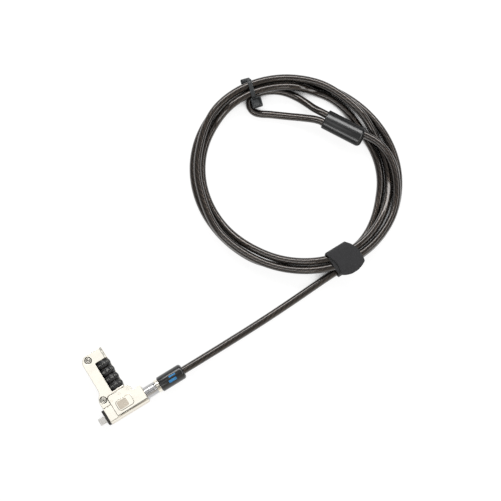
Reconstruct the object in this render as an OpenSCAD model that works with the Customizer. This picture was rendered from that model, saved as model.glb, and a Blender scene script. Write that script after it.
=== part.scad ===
// Laptop cable lock: an L-shaped four-wheel combination head on a swivelling steel cable.
// The origin lies on the flat back of the head, under the crossing of the dial axis and the swivel
// axis. +X runs along the cable's exit, +Y along the dial arm and +Z out of the button's face.
// All lengths are in millimetres.

/* [Head body] */
// Height of the cover's front face above the flat back
face_z = 11.6; // [11.3:0.1:12.2]
// How far the button platform stands above the cover's face
platform_rise = 0.4; // [0.2:0.1:0.7]
// Reach of the body from the dial axis to the nose end
body_left = 16.2; // [15.5:0.1:18]
// Reach of the body from the dial axis to the swivel end
body_right = 14.5; // [13.5:0.1:17]
// Reach of the body from the swivel axis to its rounded long side
body_front = 5.9; // [5.5:0.1:7]
// Reach of the body from the swivel axis to the step beside the platform
body_back = 6.7; // [6.2:0.1:7.4]
// Radius that rounds the long front edge
front_round = 2.6; // [1:0.1:3.5]
// Small radius along the back edges
back_round = 0.8; // [0.3:0.1:1.2]
// Reach of the platform past the swivel axis
platform_back = 11.5; // [10.5:0.1:11.8]
// Left edge of the platform, from the dial axis
platform_left = 9.7; // [9.2:0.1:10.4]
// Right edge of the platform, from the dial axis
platform_right = 8.2; // [7.4:0.1:9.5]
// Far edge of the nose block, from the swivel axis
nose_back = 5.5; // [4.5:0.1:6.2]

/* [Dial arm] */
// Left edge of the arm, from the dial axis
arm_left = 12.5; // [11.5:0.1:13.5]
// Right edge of the arm, from the dial axis
arm_right = 5.2; // [4.4:0.1:5.4]
// End of the arm, from the swivel axis
arm_end = 44.1; // [43.6:0.1:50]
// Radius of the arm's outer corner
arm_corner = 5.5; // [2:0.1:7]
// Radius that rounds the arm's right edge
arm_round = 2; // [0.5:0.1:2.4]
// Where the flare at the foot of the arm starts and ends, from the swivel axis
flare_low = 10; // [9:0.1:11]
flare_high = 19; // [17:0.1:22]
// Height of the joint between the tray and the cover
split_z = 8.8; // [8.7:0.1:9.2]
// Thickness of the tray's floor under the wheels
tray_floor = 1; // [0.6:0.1:1]

/* [Number wheels] */
// Height of the dial axis above the back
dial_z = 7; // [6.95:0.05:7.05]
// Radius of a wheel at its crown
wheel_r = 5.6; // [5.2:0.05:5.65]
// Width of a wheel
wheel_w = 5.25; // [4.6:0.05:5.4]
// Distance from one wheel to the next
wheel_pitch = 5.65; // [5.6:0.05:5.7]
// Height of the first wheel's middle, from the swivel axis
first_wheel_y = 16; // [15.9:0.05:16.4]
// Turn of the numbers about the dial axis
number_turn = 9; // [0:1:35]
// Radius of the wheel's rounded crown
crown_r = 4; // [3.2:0.1:8]
// Radius of the finger notches between the numbers
notch_r = 0.55; // [0.3:0.05:0.8]
// Depth of those notches
notch_depth = 0.4; // [0.2:0.05:0.6]
// Left edge of the dial window, from the dial axis
window_left = 4.4; // [4:0.1:4.8]

/* [Code sleeves and spindle] */
// Outer radius of a code sleeve
sleeve_r = 3.25; // [3.1:0.05:3.6]
// Radius of the pocket that a fin turns in
pocket_r = 2.6; // [2.5:0.05:2.7]
// Depth of that pocket
pocket_depth = 2; // [1.9:0.05:2.1]
// Width of the key between a sleeve and its wheel
key_w = 1; // [0.6:0.1:1.4]
// Radius of the spindle's rod
spindle_r = 1.3; // [1.1:0.05:1.35]
// Reach of a fin from the dial axis
fin_r = 2.35; // [2:0.05:2.4]
// Width and thickness of a fin
fin_w = 1; // [0.8:0.05:1.2]
fin_t = 1.4; // [1:0.05:1.5]

/* [Button, pin and tip] */
// Left and right edges of the button, from the dial axis
button_left = 6.6; // [6:0.1:7]
button_right = 5.1; // [4.6:0.1:5.6]
// Near and far edges of the button, from the swivel axis
button_near = 1.8; // [1.6:0.1:2]
button_far = 5.4; // [5.35:0.05:5.5]
// How far the button stands out of the platform
button_proud = 0.4; // [0:0.1:1]
// Travel of the button, which is also the travel of the pin and the spindle
button_travel = 1.8; // [1.2:0.1:1.8]
// Depth and corner radius of the recess for the thumb
recess_depth = 0.6; // [0.3:0.1:1]
recess_corner = 1.2; // [0.6:0.1:2]
// Length, width and thickness of the fixed hook outside the pad
tip_length = 5.2; // [4:0.1:6.5]
tip_w = 5; // [4:0.1:5.4]
tip_t = 1.4; // [1.2:0.1:1.5]
// Drop of the hook's lip
tip_lip = 0.9; // [0.5:0.1:1.2]
// Middle of the tip, from the swivel axis, towards the front
tip_front = 0.5; // [0.2:0.1:0.8]
// Height of the locking pin's bar
pin_t = 1.4; // [1.2:0.1:1.5]
// Thickness and margin of the rubber end pad
pad_t = 1.9; // [1.2:0.1:2.5]
pad_margin = 0.3; // [0.1:0.1:0.6]

/* [Swivel and ferrule] */
// Height of the swivel axis above the back
swivel_z = 5.7; // [5.5:0.1:6]
// Radius of the stem that turns in the body
stem_r = 2.5; // [2.2:0.05:2.8]
// Radius and length of the chrome barrel
barrel_r = 4.3; // [3.4:0.1:4.6]
barrel_length = 9; // [6:0.1:12]
// Radius and length of the collar
collar_r = 4.8; // [4.4:0.1:5.2]
collar_length = 2.8; // [1.5:0.1:4]
// Radius and length of the ferrule's cover
ferrule_r = 5.6; // [5:0.1:5.7]
ferrule_length = 19.1; // [15:0.1:24]
// Wall of the ferrule's cover around the crimped bush
ferrule_wall = 0.8; // [0.5:0.1:1]

/* [Cable] */
// Diameter over the vinyl
cable_d = 5.5; // [4.5:0.1:5.5]
// Free space between neighbouring strands of the coil
strand_gap = 0.55; // [0.5:0.05:0.8]
// Mean radius of the coil's outer edge, and how oval it is
coil_edge_r = 74; // [70:0.5:80]
coil_oval = 3.4; // [0:0.1:5]
// Length of the doubled sleeve that closes the eye
eye_sleeve_length = 30.6; // [26:0.1:36]
// Walls of that sleeve's cover and of the crimp inside it
eye_cover_wall = 0.4; // [0.3:0.05:0.6]
eye_crimp_wall = 0.5; // [0.3:0.05:0.6]
// Width and thickness of the hook-and-loop strap
strap_w = 20; // [14:0.5:22]
strap_t = 1.8; // [1:0.1:1.8]
// Width and thickness of the cable tie's band
tie_w = 3; // [2.5:0.1:5]
tie_t = 1.1; // [0.8:0.05:1.2]

/* [Clearances] */
// Radial running clearance of a shaft in its bore
run_gap = 0.05; // [0.03:0.01:0.1]
// Clearance between faces that slide past each other
slide_gap = 0.15; // [0.1:0.01:0.2]
// Clearance of a piece that is set into a recess
seat_gap = 0.1; // [0.05:0.01:0.15]
// Free space round a turning wheel
wheel_gap = 0.3; // [0.2:0.05:0.35]

/* [Hidden] */
$fn = 64;
e = 0.01;

// Colours, as the finished pieces look
nickel = "#e9e3d2";
chrome = "#c9ccd0";
dark_rubber = "#26221e";
black_plastic = "#2a2a2c";
brass = "#b99a52";
spring_steel = "#8d9096";
vinyl = "#2b2724";

// Lower body and its cavity
platform_z = face_z + platform_rise;
wall = 2.2;
plate_t = 1.2;
plate_ledge = 0.8;
roof_t = 3;
cavity_left = 9;
cavity_right = 8.8;
cavity_near = body_front - wall;
cavity_far = 6.5;
roof_z = platform_z - roof_t;
platform_corner = 2;
// Overshoot of a cut past the face that it opens
over = 1;

// Dial window, wheel pocket and detent spring
wheel_count = 4;
digits = 10;
last_wheel_y = first_wheel_y + (wheel_count - 1) * wheel_pitch;
pocket_low = first_wheel_y - wheel_w / 2 - wheel_gap;
pocket_high = last_wheel_y + wheel_w / 2 + wheel_gap;
leaf_t = 0.25;
leaf_short = 0.2;
bump_rise = 0.35;
bump_half = 1;
bump_gap = 0.2;
pocket_left = wheel_r + bump_gap + bump_rise + leaf_t;
cover_seam = 0.25;
key_rise = 0.5;

// Screws: place, head and shank
screw_places = [[-7.5, arm_end - 3.7], [-12.7, flare_low + 1.1]];
screw_head_r = 2.2;
screw_counterbore_r = 2.55;
screw_head_t = 1;
screw_sink = 1.3;
screw_shank_r = 1;
screw_tip_z = 2.6;
screw_hole_room = 0.4;
screw_socket_r = 1.1;
screw_socket_depth = 0.7;
screw_pin_r = 0.35;
screw_pin_short = 0.15;

// Spindle and its spring
spindle_start = 1.8;
spindle_end = pocket_high + 1.5;
spindle_bore_end = arm_end - 1.7;
spring_turns = 6;
spring_rings = 8;
spring_sides = 6;
spindle_wire = 0.3;
spindle_coil_r = spindle_r - spindle_wire - seat_gap;

// Button
button_top = platform_z + button_proud;
button_corner = 2;
button_under = roof_z - slide_gap;
recess_rim = 0.6;
recess_right = 1.4;

// Flange under the button's ends, and its two springs
flange_t = 1.2;
flange_low = button_under - flange_t;
flange_reach = 1.1;
flange_near = 1.7;
flange_short = 0.2;
button_wire = 0.44;
button_coil_r = 1.3;
button_coil_far = 1.8;
button_coil_in = 2;

// Ramps at 45 degrees: the button's stem pushes the spindle, its slanted cam drives the pin
stem_half = 1.3;
stem_gap = 0.3;
ramp_far = button_far - seat_gap;
ramp_drop = 2.7;
ramp_lag = button_under - ramp_far;
ramp_gap = slide_gap * sqrt(2);
cam_half = 1;
cam_w = 2.4;
cam_lag = roof_z - 1;
cam_short = 0.45;

// Pin and tip, stacked in the nose below the pressed button
tip_y = -tip_front;
tip_outer = body_left + pad_t + tip_length;
pin_high = button_under - button_travel - slide_gap;
pin_low = pin_high - pin_t;
tip_low = pin_low - slide_gap - tip_t;
pin_half = tip_w / 2 - 0.6;
pin_right = 2.6;
pin_short = 0.4;
pin_shoulder = cavity_left + 1;
lip_length = 1.6;
pad_corner = 1.4;

// Reset screw in the long side
reset_x = -6.7;
reset_z = 4.4;
reset_r = 0.95;
reset_sunk = 0.5;
reset_reach = 0.8;
reset_slot_w = 0.4;
reset_slot_depth = 0.5;

// Swivel
stem_left = cavity_right - 1.6;
ring_t = 0.6;
ring_x = cavity_right - slide_gap - ring_t;
ring_r = stem_r + 0.8;
ring_mouth = 0.7;
groove_r = stem_r - 0.4;
band_from_end = 1.2;
band_r = 0.4;
band_out = 0.15;
barrel_left = body_right + slide_gap;
barrel_right = barrel_left + barrel_length;
collar_right = barrel_right + collar_length;
ferrule_right = collar_right + ferrule_length;
collar_chamfer = 0.3;
ferrule_chamfer = 0.4;
ferrule_taper = 1.2;
bush_r = ferrule_r - ferrule_wall - run_gap;
bush_left = collar_right + 0.6;
bush_right = ferrule_right - 3;
bush_floor = 1;
cable_r = cable_d / 2;
cable_bore_r = cable_r + run_gap;

// Coil: columns count inwards from the outer edge, layers count upwards from the floor.
// Each move of the strand is [start, end, columns inwards, layers up], in degrees of winding.
coil_centre = [187.1, 76.9];
coil_long_axis = 120;
coil_start = -83;
coil_pitch = cable_d + strand_gap;
coil_moves = [
    [290, 340, 1, 0], [352, 400, 1.15, 0], [434, 484, -1.15, 0], [484, 504, 0, 1],
    [541, 565, 0, -1], [623, 658, 0, 1], [727, 760, 0.15, 0], [741, 775, 0, -1],
    [790, 814, 0, 0.9], [790, 830, -0.7, 0], [820, 842, 0, 0.1], [822, 850, -0.45, 0],
    [908, 938, 0.5, 0], [918, 943, 0, -0.13], [955, 978, 0, 0.13], [960, 993, -0.5, 0],
    [1105, 1140, 0.45, 0]
];
rings_per_turn = 36;
coil_sides = 6;
coil_leave = 1131;
leave_rings = 7;
strap_angle = -93;
tie_angle = 85.5;

// Lead: its points between the ferrule and the coil, chosen by hand
lead_points = [
    [56, 0, 5.5], [66, 0.1, 4.4], [76, 0.2, 3.2], [87, 0.3, 2.8], [101, 0.4, 2.8],
    [116, 0.7, 2.8], [131, 1.2, 2.8], [145, 1.8, 3], [156, 2.3, 3.6], [166, 2.7, 4.3],
    [175, 2.9, 4.58]
];
lead_sides = 10;

// Eye: sleeve ends on its middle line, and the strand's points round the eye, chosen by hand
sleeve_low_end = [241.2, 73.2, 9.9];
sleeve_heading = atan2(26.4, -15.4);
barrel_pitch = cable_d + strand_gap;
barrel_web = 1.3;
sleeve_cap = 2.4;
crimp_r = cable_bore_r + eye_crimp_wall;
eye_cover_r = crimp_r + run_gap + eye_cover_wall;
eye_points = [
    [223.4, 110.6, 8], [221, 117.4, 5.6], [217.7, 124.8, 4.1], [211.7, 133.1, 3.97],
    [203.8, 139, 3.97], [197.7, 141.5, 3.97], [192.3, 142.3, 3.97], [188.6, 141, 3.75],
    [186.3, 138.6, 3.35], [185.5, 135.2, 2.95], [186.3, 131.9, 2.8], [188.9, 128.8, 2.8],
    [194.3, 124.9, 2.8], [200.6, 120, 2.85], [206.8, 114.8, 4.2], [213.2, 109.2, 6.6]
];
eye_sides = 10;
eye_end_short = 4;

// Strap and tie openings round the bundle
strap_middle = [183.5, 7.9];
strap_inner = [15.9, 11.9];
strap_corner = 2.8;
flap_t = 1.2;
flap_overhang = 3.5;
flap_round = 21;
tie_inner = [14.9, 11.9];
tie_corner = 2.6;
tie_bite = 0.6;
tie_head = [6.5, 6, 4.6];
tie_tail = [3, 5, 3.4];
tie_tail_aside = 1.4;

// Helper shapes

module bar(from, to) {
    translate(from)
        cube(to - from);
}

module along_x(from, to) {
    translate([from, 0, 0])
        rotate([90, 0, 90])
            linear_extrude(to - from)
                children();
}

module along_y(from, to) {
    translate([0, to, 0])
        rotate([90, 0, 0])
            linear_extrude(to - from)
                children();
}

module rod_x(from, to, r) {
    translate([from, 0, 0])
        rotate([0, 90, 0])
            cylinder(h = to - from, r = r);
}

module rod_y(from, to, r) {
    translate([0, from, 0])
        rotate([-90, 0, 0])
            cylinder(h = to - from, r = r);
}

module rounded_box(from, to, r) {
    translate([from[0] + r, from[1]])
        square([to[0] - from[0] - 2 * r, to[1] - from[1]]);
    translate([from[0], from[1] + r])
        square([to[0] - from[0], to[1] - from[1] - 2 * r]);
    for (x = [from[0] + r, to[0] - r], y = [from[1] + r, to[1] - r])
        translate([x, y])
            circle(r);
}

// Frame that puts a shape on the cable's sleeve: z runs up the sleeve, x across it, y upwards

module on_sleeve() {
    translate(sleeve_low_end)
        rotate([90, 0, sleeve_heading + 90])
            children();
}

// Tube swept along points, with its faces as triangles

function unit(v) = v / norm(v);

function heading(p, i) = unit(p[min(i + 1, len(p) - 1)] - p[max(i - 1, 0)]);

function ring_points(p, i, r, sides) =
    let (
        t = heading(p, i),
        s = unit(cross(t, [0, 0, 1])),
        u = cross(s, t)
    )
    [for (k = [0 : sides - 1]) p[i] + r * (cos(360 * k / sides) * s + sin(360 * k / sides) * u)];

module tube(p, r, sides) {
    n = len(p);
    points = [for (i = [0 : n - 1]) each ring_points(p, i, r, sides)];
    walls = [
        for (i = [0 : n - 2], k = [0 : sides - 1])
            let (
                a = i * sides + k,
                b = i * sides + (k + 1) % sides
            )
            each [[a, b, b + sides], [a, b + sides, a + sides]]
    ];
    last = (n - 1) * sides;
    caps = [for (k = [1 : sides - 2]) each [[0, k + 1, k], [last, last + k, last + k + 1]]];
    polyhedron(points = points, faces = concat(walls, caps));
}

// Coil spring between two seats, along z
module coil_spring(r, wire, from, to) {
    steps = spring_turns * spring_rings;
    low = from + wire / 2;
    rise = (to - from - wire) / steps;
    route = [for (i = [0 : steps])
        [r * cos(360 * i / spring_rings), r * sin(360 * i / spring_rings), low + rise * i]];
    tube(route, wire / 2, spring_sides);
}

// Route of the cable

function smooth(a, from, to) =
    let (s = min(1, max(0, (a - from) / (to - from))))
    s * s * (3 - 2 * s);

function moved(w, column) =
    [for (m = coil_moves) m[column] * smooth(w, m[0], m[1])];

function total(list) = len(list) == 0 ? 0 : list * [for (v = list) 1];

function wrapped(a, middle) = a - 360 * floor((a - middle + 180) / 360);

function rest_lift(angle) =
    let (
        s = wrapped(angle, strap_angle),
        t = wrapped(angle, tie_angle)
    )
    strap_t * smooth(s, -140, -112) * (1 - smooth(s, -66, -38))
        + (tie_t + seat_gap) * smooth(t, 44, 66) * (1 - smooth(t, 98, 120));

function coil_point(w) =
    let (
        angle = coil_start + w,
        edge = coil_edge_r + coil_oval * cos(2 * (angle - coil_long_axis)),
        r = edge - cable_r - coil_pitch * total(moved(w, 2)),
        z = cable_r + e + coil_pitch * total(moved(w, 3)) + rest_lift(angle)
    )
    [coil_centre[0] + r * cos(angle), coil_centre[1] + r * sin(angle), z];

function coil_heading(w) = unit(coil_point(w + 0.5) - coil_point(w - 0.5));

function hermite(p, u, q, v, s) =
    (2 * s ^ 3 - 3 * s ^ 2 + 1) * p + (s ^ 3 - 2 * s ^ 2 + s) * u
        + (3 * s ^ 2 - 2 * s ^ 3) * q + (s ^ 3 - s ^ 2) * v;

sleeve_axis = [cos(sleeve_heading), sin(sleeve_heading), 0];
sleeve_side = [sin(sleeve_heading), -cos(sleeve_heading), 0];
sleeve_in = sleeve_low_end + barrel_pitch / 2 * sleeve_side;
sleeve_out = sleeve_in + eye_sleeve_length * sleeve_axis;
sleeve_back = sleeve_low_end - barrel_pitch / 2 * sleeve_side + eye_sleeve_length * sleeve_axis;
leave_from = coil_point(coil_leave);
leave_to = sleeve_in - cable_d * sleeve_axis;
leave_pull = norm(leave_to - leave_from);

coil_begin = coil_point(0) - cable_d * coil_heading(0);
coil_route = concat(
    [coil_begin],
    [for (w = [0 : 360 / rings_per_turn : coil_leave]) coil_point(w)],
    [for (i = [1 : leave_rings])
        hermite(leave_from, leave_pull * coil_heading(coil_leave), leave_to,
            leave_pull * sleeve_axis, i / leave_rings)],
    [sleeve_in]
);

lead_route = concat(
    [for (x = [bush_left + bush_floor, ferrule_right, ferrule_right + cable_d]) [x, 0, swivel_z]],
    lead_points,
    [coil_begin - cable_d * coil_heading(0), coil_begin]
);

eye_route = concat(
    [sleeve_in, sleeve_out, sleeve_out + cable_d * sleeve_axis],
    eye_points,
    [for (along = [cable_r, 0, eye_end_short - eye_sleeve_length]) sleeve_back + along * sleeve_axis]
);

// Least gap of the coil to itself, between rings that are not close neighbours along it
apart = 9;
coil_gap = min([for (i = [0 : len(coil_route) - apart - 2])
    min([for (j = [i + apart : len(coil_route) - 2]) strand_distance(i, j)])]) - cable_d;

function strand_distance(i, j) =
    let (
        a = coil_route[j],
        b = coil_route[j + 1] - a,
        s = min(1, max(0, (coil_route[i] - a) * b / (b * b)))
    )
    norm(coil_route[i] - a - s * b);

function route_length(p) = total([for (i = [0 : len(p) - 2]) norm(p[i + 1] - p[i])]);

echo(coil_least_gap = coil_gap);
echo(cable_length = route_length(lead_route) + route_length(coil_route) + route_length(eye_route));

// Outline of the arm and its flared foot, seen from the front

flare_shift = body_left - arm_left;
flare_run = flare_high - flare_low;
flare_r = (flare_shift ^ 2 + flare_run ^ 2) / (4 * flare_shift);

module arm_outline(low) {
    middle = [-arm_left - flare_shift / 2, flare_low + flare_run / 2];
    difference() {
        polygon([
            [-body_left, low], [-body_left, middle[1]], middle, [middle[0], flare_high],
            [-arm_left, flare_high], [-arm_left, arm_end], [arm_right, arm_end], [arm_right, low]
        ]);
        difference() {
            translate([-body_left - over, flare_low])
                square([flare_shift / 2 + over, flare_run / 2 + over]);
            translate([flare_r - body_left, flare_low])
                circle(flare_r);
        }
        intersection() {
            translate([middle[0] - over, middle[1] - over])
                square([flare_shift / 2 + over, flare_run / 2 + over]);
            translate([-arm_left - flare_r, flare_high])
                circle(flare_r);
        }
        difference() {
            translate([-arm_left - over, arm_end - arm_corner])
                square(arm_corner + over);
            translate([-arm_left + arm_corner, arm_end - arm_corner])
                circle(arm_corner);
        }
    }
}

module platform_outline(grow) {
    rounded_box([-platform_left - grow, 0], [platform_right + grow, platform_back + grow],
        platform_corner + grow);
    translate([-platform_left - grow, 0])
        square([platform_left + platform_right + 2 * grow, body_back]);
}

module body_profile() {
    difference() {
        translate([-body_front, 0])
            square([body_front + body_back, platform_z]);
        translate([-body_front - e, platform_z - front_round])
            difference() {
                square(front_round + e);
                translate([front_round + e, 0])
                    circle(front_round);
            }
        translate([-body_front - e, -e])
            difference() {
                square(back_round + e);
                translate([back_round + e, back_round + e])
                    circle(back_round);
            }
    }
}

// Sub-parts of the lock head

module housing() {
    color(nickel)
    difference() {
        union() {
            along_x(-body_left, body_right)
                body_profile();
            linear_extrude(platform_z)
                platform_outline(0);
            linear_extrude(split_z)
                arm_outline(nose_back);
        }
        bar([-body_left - over, -body_front - over, face_z],
            [-platform_left, body_back, platform_z + over]);
        bar([-body_left - over, nose_back, split_z],
            [-platform_left - cover_seam, flare_low, platform_z + over]);
        bar([-cavity_left, -cavity_near, plate_t - e], [cavity_right, cavity_far, roof_z]);
        bar([-cavity_left - plate_ledge, -cavity_near - plate_ledge, -over],
            [cavity_right + plate_ledge, cavity_far + plate_ledge, plate_t]);
        translate([0, 0, roof_z - over])
            linear_extrude(roof_t + 2 * over)
                rounded_box([-button_left - slide_gap, -button_near - slide_gap],
                    [button_right + slide_gap, button_far + slide_gap], button_corner + slide_gap);
        bar([-pocket_left, pocket_low, tray_floor], [arm_right + over, pocket_high, split_z + over]);
        translate([0, 0, dial_z])
            rod_y(cavity_far - over, spindle_bore_end, spindle_r + run_gap);
        bar([-body_left - over, tip_y - tip_w / 2, tip_low],
            [-cavity_left + over, tip_y + tip_w / 2, pin_high + slide_gap]);
        translate([0, 0, swivel_z])
            rod_x(cavity_right - over, body_right + over, stem_r + run_gap);
        for (p = screw_places)
            translate([p[0], p[1], screw_tip_z - screw_hole_room])
                cylinder(h = split_z, r = screw_shank_r + run_gap);
        translate([reset_x, 0, reset_z])
            rod_y(-body_front - over, -cavity_near + over, reset_r + run_gap);
    }
}

module arm_cover() {
    color(nickel)
    difference() {
        translate([0, 0, split_z])
            linear_extrude(face_z - split_z)
                difference() {
                    arm_outline(nose_back + cover_seam);
                    platform_outline(cover_seam);
                }
        bar([-window_left, pocket_low, split_z - over], [arm_right + over, pocket_high, face_z + over]);
        translate([0, 0, dial_z])
            rod_y(pocket_low, pocket_high, wheel_r + wheel_gap);
        along_y(platform_back, arm_end + over)
            difference() {
                translate([arm_right - arm_round, face_z - arm_round])
                    square(arm_round + over);
                translate([arm_right - arm_round, face_z - arm_round])
                    circle(arm_round);
            }
        for (p = screw_places) {
            translate([p[0], p[1], face_z - screw_sink])
                cylinder(h = screw_sink + over, r = screw_counterbore_r);
            translate([p[0], p[1], split_z - over])
                cylinder(h = face_z, r = screw_shank_r + seat_gap);
        }
    }
}

module rear_plate() {
    color(nickel)
    bar([-cavity_left - plate_ledge + seat_gap, -cavity_near - plate_ledge + seat_gap, 0],
        [cavity_right + plate_ledge - seat_gap, cavity_far + plate_ledge - seat_gap, plate_t]);
}

module cover_screws() {
    seat_z = face_z - screw_sink;
    color(chrome)
    for (p = screw_places)
        translate([p[0], p[1], 0]) {
            difference() {
                union() {
                    translate([0, 0, seat_z])
                        cylinder(h = screw_head_t, r = screw_head_r);
                    translate([0, 0, screw_tip_z])
                        cylinder(h = seat_z - screw_tip_z + e, r = screw_shank_r);
                }
                translate([0, 0, seat_z + screw_head_t - screw_socket_depth])
                    cylinder(h = screw_head_t, r = screw_socket_r, $fn = 6);
            }
            translate([0, 0, seat_z])
                cylinder(h = screw_head_t - screw_pin_short, r = screw_pin_r);
        }
}

module end_pad() {
    color(dark_rubber)
    difference() {
        along_x(-body_left - pad_t, -body_left)
            rounded_box([-body_front + pad_margin, pad_margin],
                [nose_back - pad_margin, face_z - pad_margin], pad_corner);
        bar([-body_left - pad_t - over, tip_y - tip_w / 2 - seat_gap, tip_low - tip_lip - seat_gap],
            [-body_left + over, tip_y + tip_w / 2 + seat_gap, pin_high + slide_gap]);
    }
}

module lock_tip() {
    color(chrome)
    translate([0, tip_y, 0]) {
        bar([-tip_outer, -tip_w / 2, tip_low], [-cavity_left, tip_w / 2, tip_low + tip_t]);
        bar([-tip_outer, -tip_w / 2, tip_low - tip_lip], [-tip_outer + lip_length, tip_w / 2, tip_low + e]);
    }
}

module detent_spring() {
    color(spring_steel) {
        bar([-pocket_left, pocket_low + seat_gap, tray_floor],
            [-pocket_left + leaf_t, pocket_high - seat_gap, split_z - leaf_short]);
        for (i = [0 : wheel_count - 1])
            translate([-pocket_left, first_wheel_y + i * wheel_pitch, dial_z])
                intersection() {
                    rod_y(-bump_half, bump_half, leaf_t + bump_rise);
                    bar([0, -wheel_w, -wheel_r], [wheel_r, wheel_w, wheel_r]);
                }
    }
}

module spindle_spring() {
    color(spring_steel)
    translate([0, 0, dial_z])
        rotate([-90, 0, 0])
            coil_spring(spindle_coil_r, spindle_wire, spindle_end, spindle_bore_end);
}

module button_springs() {
    color(spring_steel)
    for (x = [-button_left + button_coil_in, button_right - button_coil_in])
        translate([x, button_far - button_coil_far, 0])
            coil_spring(button_coil_r, button_wire, plate_t, flange_low);
}

module reset_screw() {
    face_y = -body_front + reset_sunk;
    color(brass)
    translate([reset_x, 0, reset_z])
        difference() {
            rod_y(face_y, -cavity_near + reset_reach, reset_r);
            bar([-reset_slot_w / 2, face_y - over, -reset_r - over],
                [reset_slot_w / 2, face_y + reset_slot_depth, reset_r + over]);
        }
}

// Number wheels and the code sleeves keyed inside them

module wheel_profile() {
    intersection() {
        translate([sleeve_r + run_gap, -wheel_w / 2])
            square([wheel_r, wheel_w]);
        translate([wheel_r - crown_r, 0])
            circle(crown_r);
    }
}

module number_wheel(i) {
    color(black_plastic)
    translate([0, first_wheel_y + i * wheel_pitch, dial_z])
        rotate([-90, 0, 0])
            difference() {
                rotate_extrude()
                    wheel_profile();
                for (k = [0 : digits - 1])
                    rotate([0, 0, 360 * (k + 0.5) / digits - number_turn])
                        translate([wheel_r + notch_r - notch_depth, 0, -wheel_w])
                            cylinder(h = 2 * wheel_w, r = notch_r);
                translate([0, -key_w / 2 - run_gap, -wheel_w])
                    cube([sleeve_r + key_rise + run_gap, key_w + 2 * run_gap, 2 * wheel_w]);
            }
}

module code_sleeve(i) {
    color(brass)
    translate([0, first_wheel_y + i * wheel_pitch, dial_z])
        rotate([-90, 0, 0])
            difference() {
                union() {
                    translate([0, 0, -wheel_w / 2])
                        cylinder(h = wheel_w, r = sleeve_r);
                    translate([0, -key_w / 2, -wheel_w / 2])
                        cube([sleeve_r + key_rise, key_w, wheel_w]);
                }
                translate([0, 0, -wheel_w])
                    cylinder(h = 2 * wheel_w, r = spindle_r + run_gap);
                translate([0, 0, -wheel_w / 2 - over])
                    cylinder(h = pocket_depth + over, r = pocket_r);
                translate([-fin_w / 2 - seat_gap, -pocket_r, -wheel_w])
                    cube([fin_w + 2 * seat_gap, 2 * pocket_r, 2 * wheel_w]);
            }
}

// Slanted cam of the button, and the slot for it in the pin

module cam_outline(grow, low, high) {
    polygon([
        [low - cam_lag - cam_w - grow, low], [low - cam_lag + grow, low],
        [high - cam_lag + grow, high], [high - cam_lag - cam_w - grow, high]
    ]);
}

// Spindle, button and pin, which move together

module spindle() {
    low = dial_z - 2 * spindle_r;
    high = dial_z + 2 * spindle_r;
    ramp_y = ramp_gap - ramp_lag;
    color(spring_steel) {
        difference() {
            translate([0, 0, dial_z])
                rod_y(spindle_start, spindle_end, spindle_r);
            along_x(-2 * spindle_r, 2 * spindle_r)
                polygon([
                    [spindle_start - over, low], [low + ramp_y, low],
                    [high + ramp_y, high], [spindle_start - over, high]
                ]);
        }
        for (i = [0 : wheel_count - 1])
            translate([0, first_wheel_y + i * wheel_pitch + (pocket_depth - fin_t - wheel_w) / 2, dial_z])
                bar([-fin_w / 2, 0, 0], [fin_w / 2, fin_t, fin_r]);
    }
}

module release_button() {
    flange_in = stem_half + stem_gap;
    color(nickel) {
        difference() {
            translate([0, 0, button_under])
                linear_extrude(button_top - button_under)
                    rounded_box([-button_left, -button_near], [button_right, button_far], button_corner);
            translate([0, 0, button_top - recess_depth])
                linear_extrude(recess_depth + over)
                    rounded_box([recess_rim - button_left, recess_rim - button_near],
                        [recess_right, button_far - recess_rim], recess_corner);
        }
        for (x = [[-button_left - flange_reach, -flange_in], [flange_in, button_right + flange_reach]])
            bar([x[0], flange_near, flange_low], [x[1], button_far - flange_short, button_under + e]);
        along_x(-stem_half, stem_half)
            polygon([
                [ramp_far - ramp_drop, button_under + e], [ramp_far, button_under + e],
                [ramp_far, button_under], [ramp_far - ramp_drop, button_under - ramp_drop]
            ]);
        along_y(tip_y - cam_half, tip_y + cam_half)
            cam_outline(0, pin_low + cam_short, button_under + e);
    }
}

module locking_pin() {
    color(chrome)
    difference() {
        union() {
            bar([-tip_outer + pin_short, tip_y - tip_w / 2 + slide_gap, pin_low],
                [-pin_shoulder, tip_y + tip_w / 2 - slide_gap, pin_high]);
            bar([-pin_shoulder - e, tip_y - pin_half, pin_low], [pin_right, tip_y + pin_half, pin_high]);
        }
        along_y(tip_y - cam_half - slide_gap, tip_y + cam_half + slide_gap)
            cam_outline(ramp_gap, pin_low - over, pin_high + over);
    }
}

// Swivel, ferrule and cable

module swivel_barrel() {
    color(chrome)
    translate([0, 0, swivel_z])
        difference() {
            union() {
                rod_x(stem_left, barrel_left + e, stem_r);
                rod_x(barrel_left, barrel_right, barrel_r);
            }
            difference() {
                rod_x(ring_x - seat_gap, ring_x + ring_t + seat_gap, stem_r + over);
                rod_x(ring_x - over, ring_x + ring_t + over, groove_r);
            }
            translate([barrel_right - band_from_end, 0, 0])
                rotate([0, 90, 0])
                    rotate_extrude()
                        translate([barrel_r + band_out, 0])
                            circle(band_r);
        }
}

module retaining_ring() {
    mouth = groove_r * ring_mouth;
    color(spring_steel)
    translate([0, 0, swivel_z])
        difference() {
            rod_x(ring_x, ring_x + ring_t, ring_r);
            rod_x(ring_x - over, ring_x + ring_t + over, groove_r + run_gap);
            bar([ring_x - over, -mouth, -ring_r - over], [ring_x + ring_t + over, mouth, 0]);
        }
}

module ferrule_collar() {
    color(nickel)
    translate([barrel_right, 0, swivel_z])
        rotate([0, 90, 0])
            rotate_extrude()
                polygon([
                    [0, 0], [collar_r - collar_chamfer, 0], [collar_r, collar_chamfer],
                    [collar_r, collar_length - collar_chamfer],
                    [collar_r - collar_chamfer, collar_length], [0, collar_length]
                ]);
}

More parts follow.
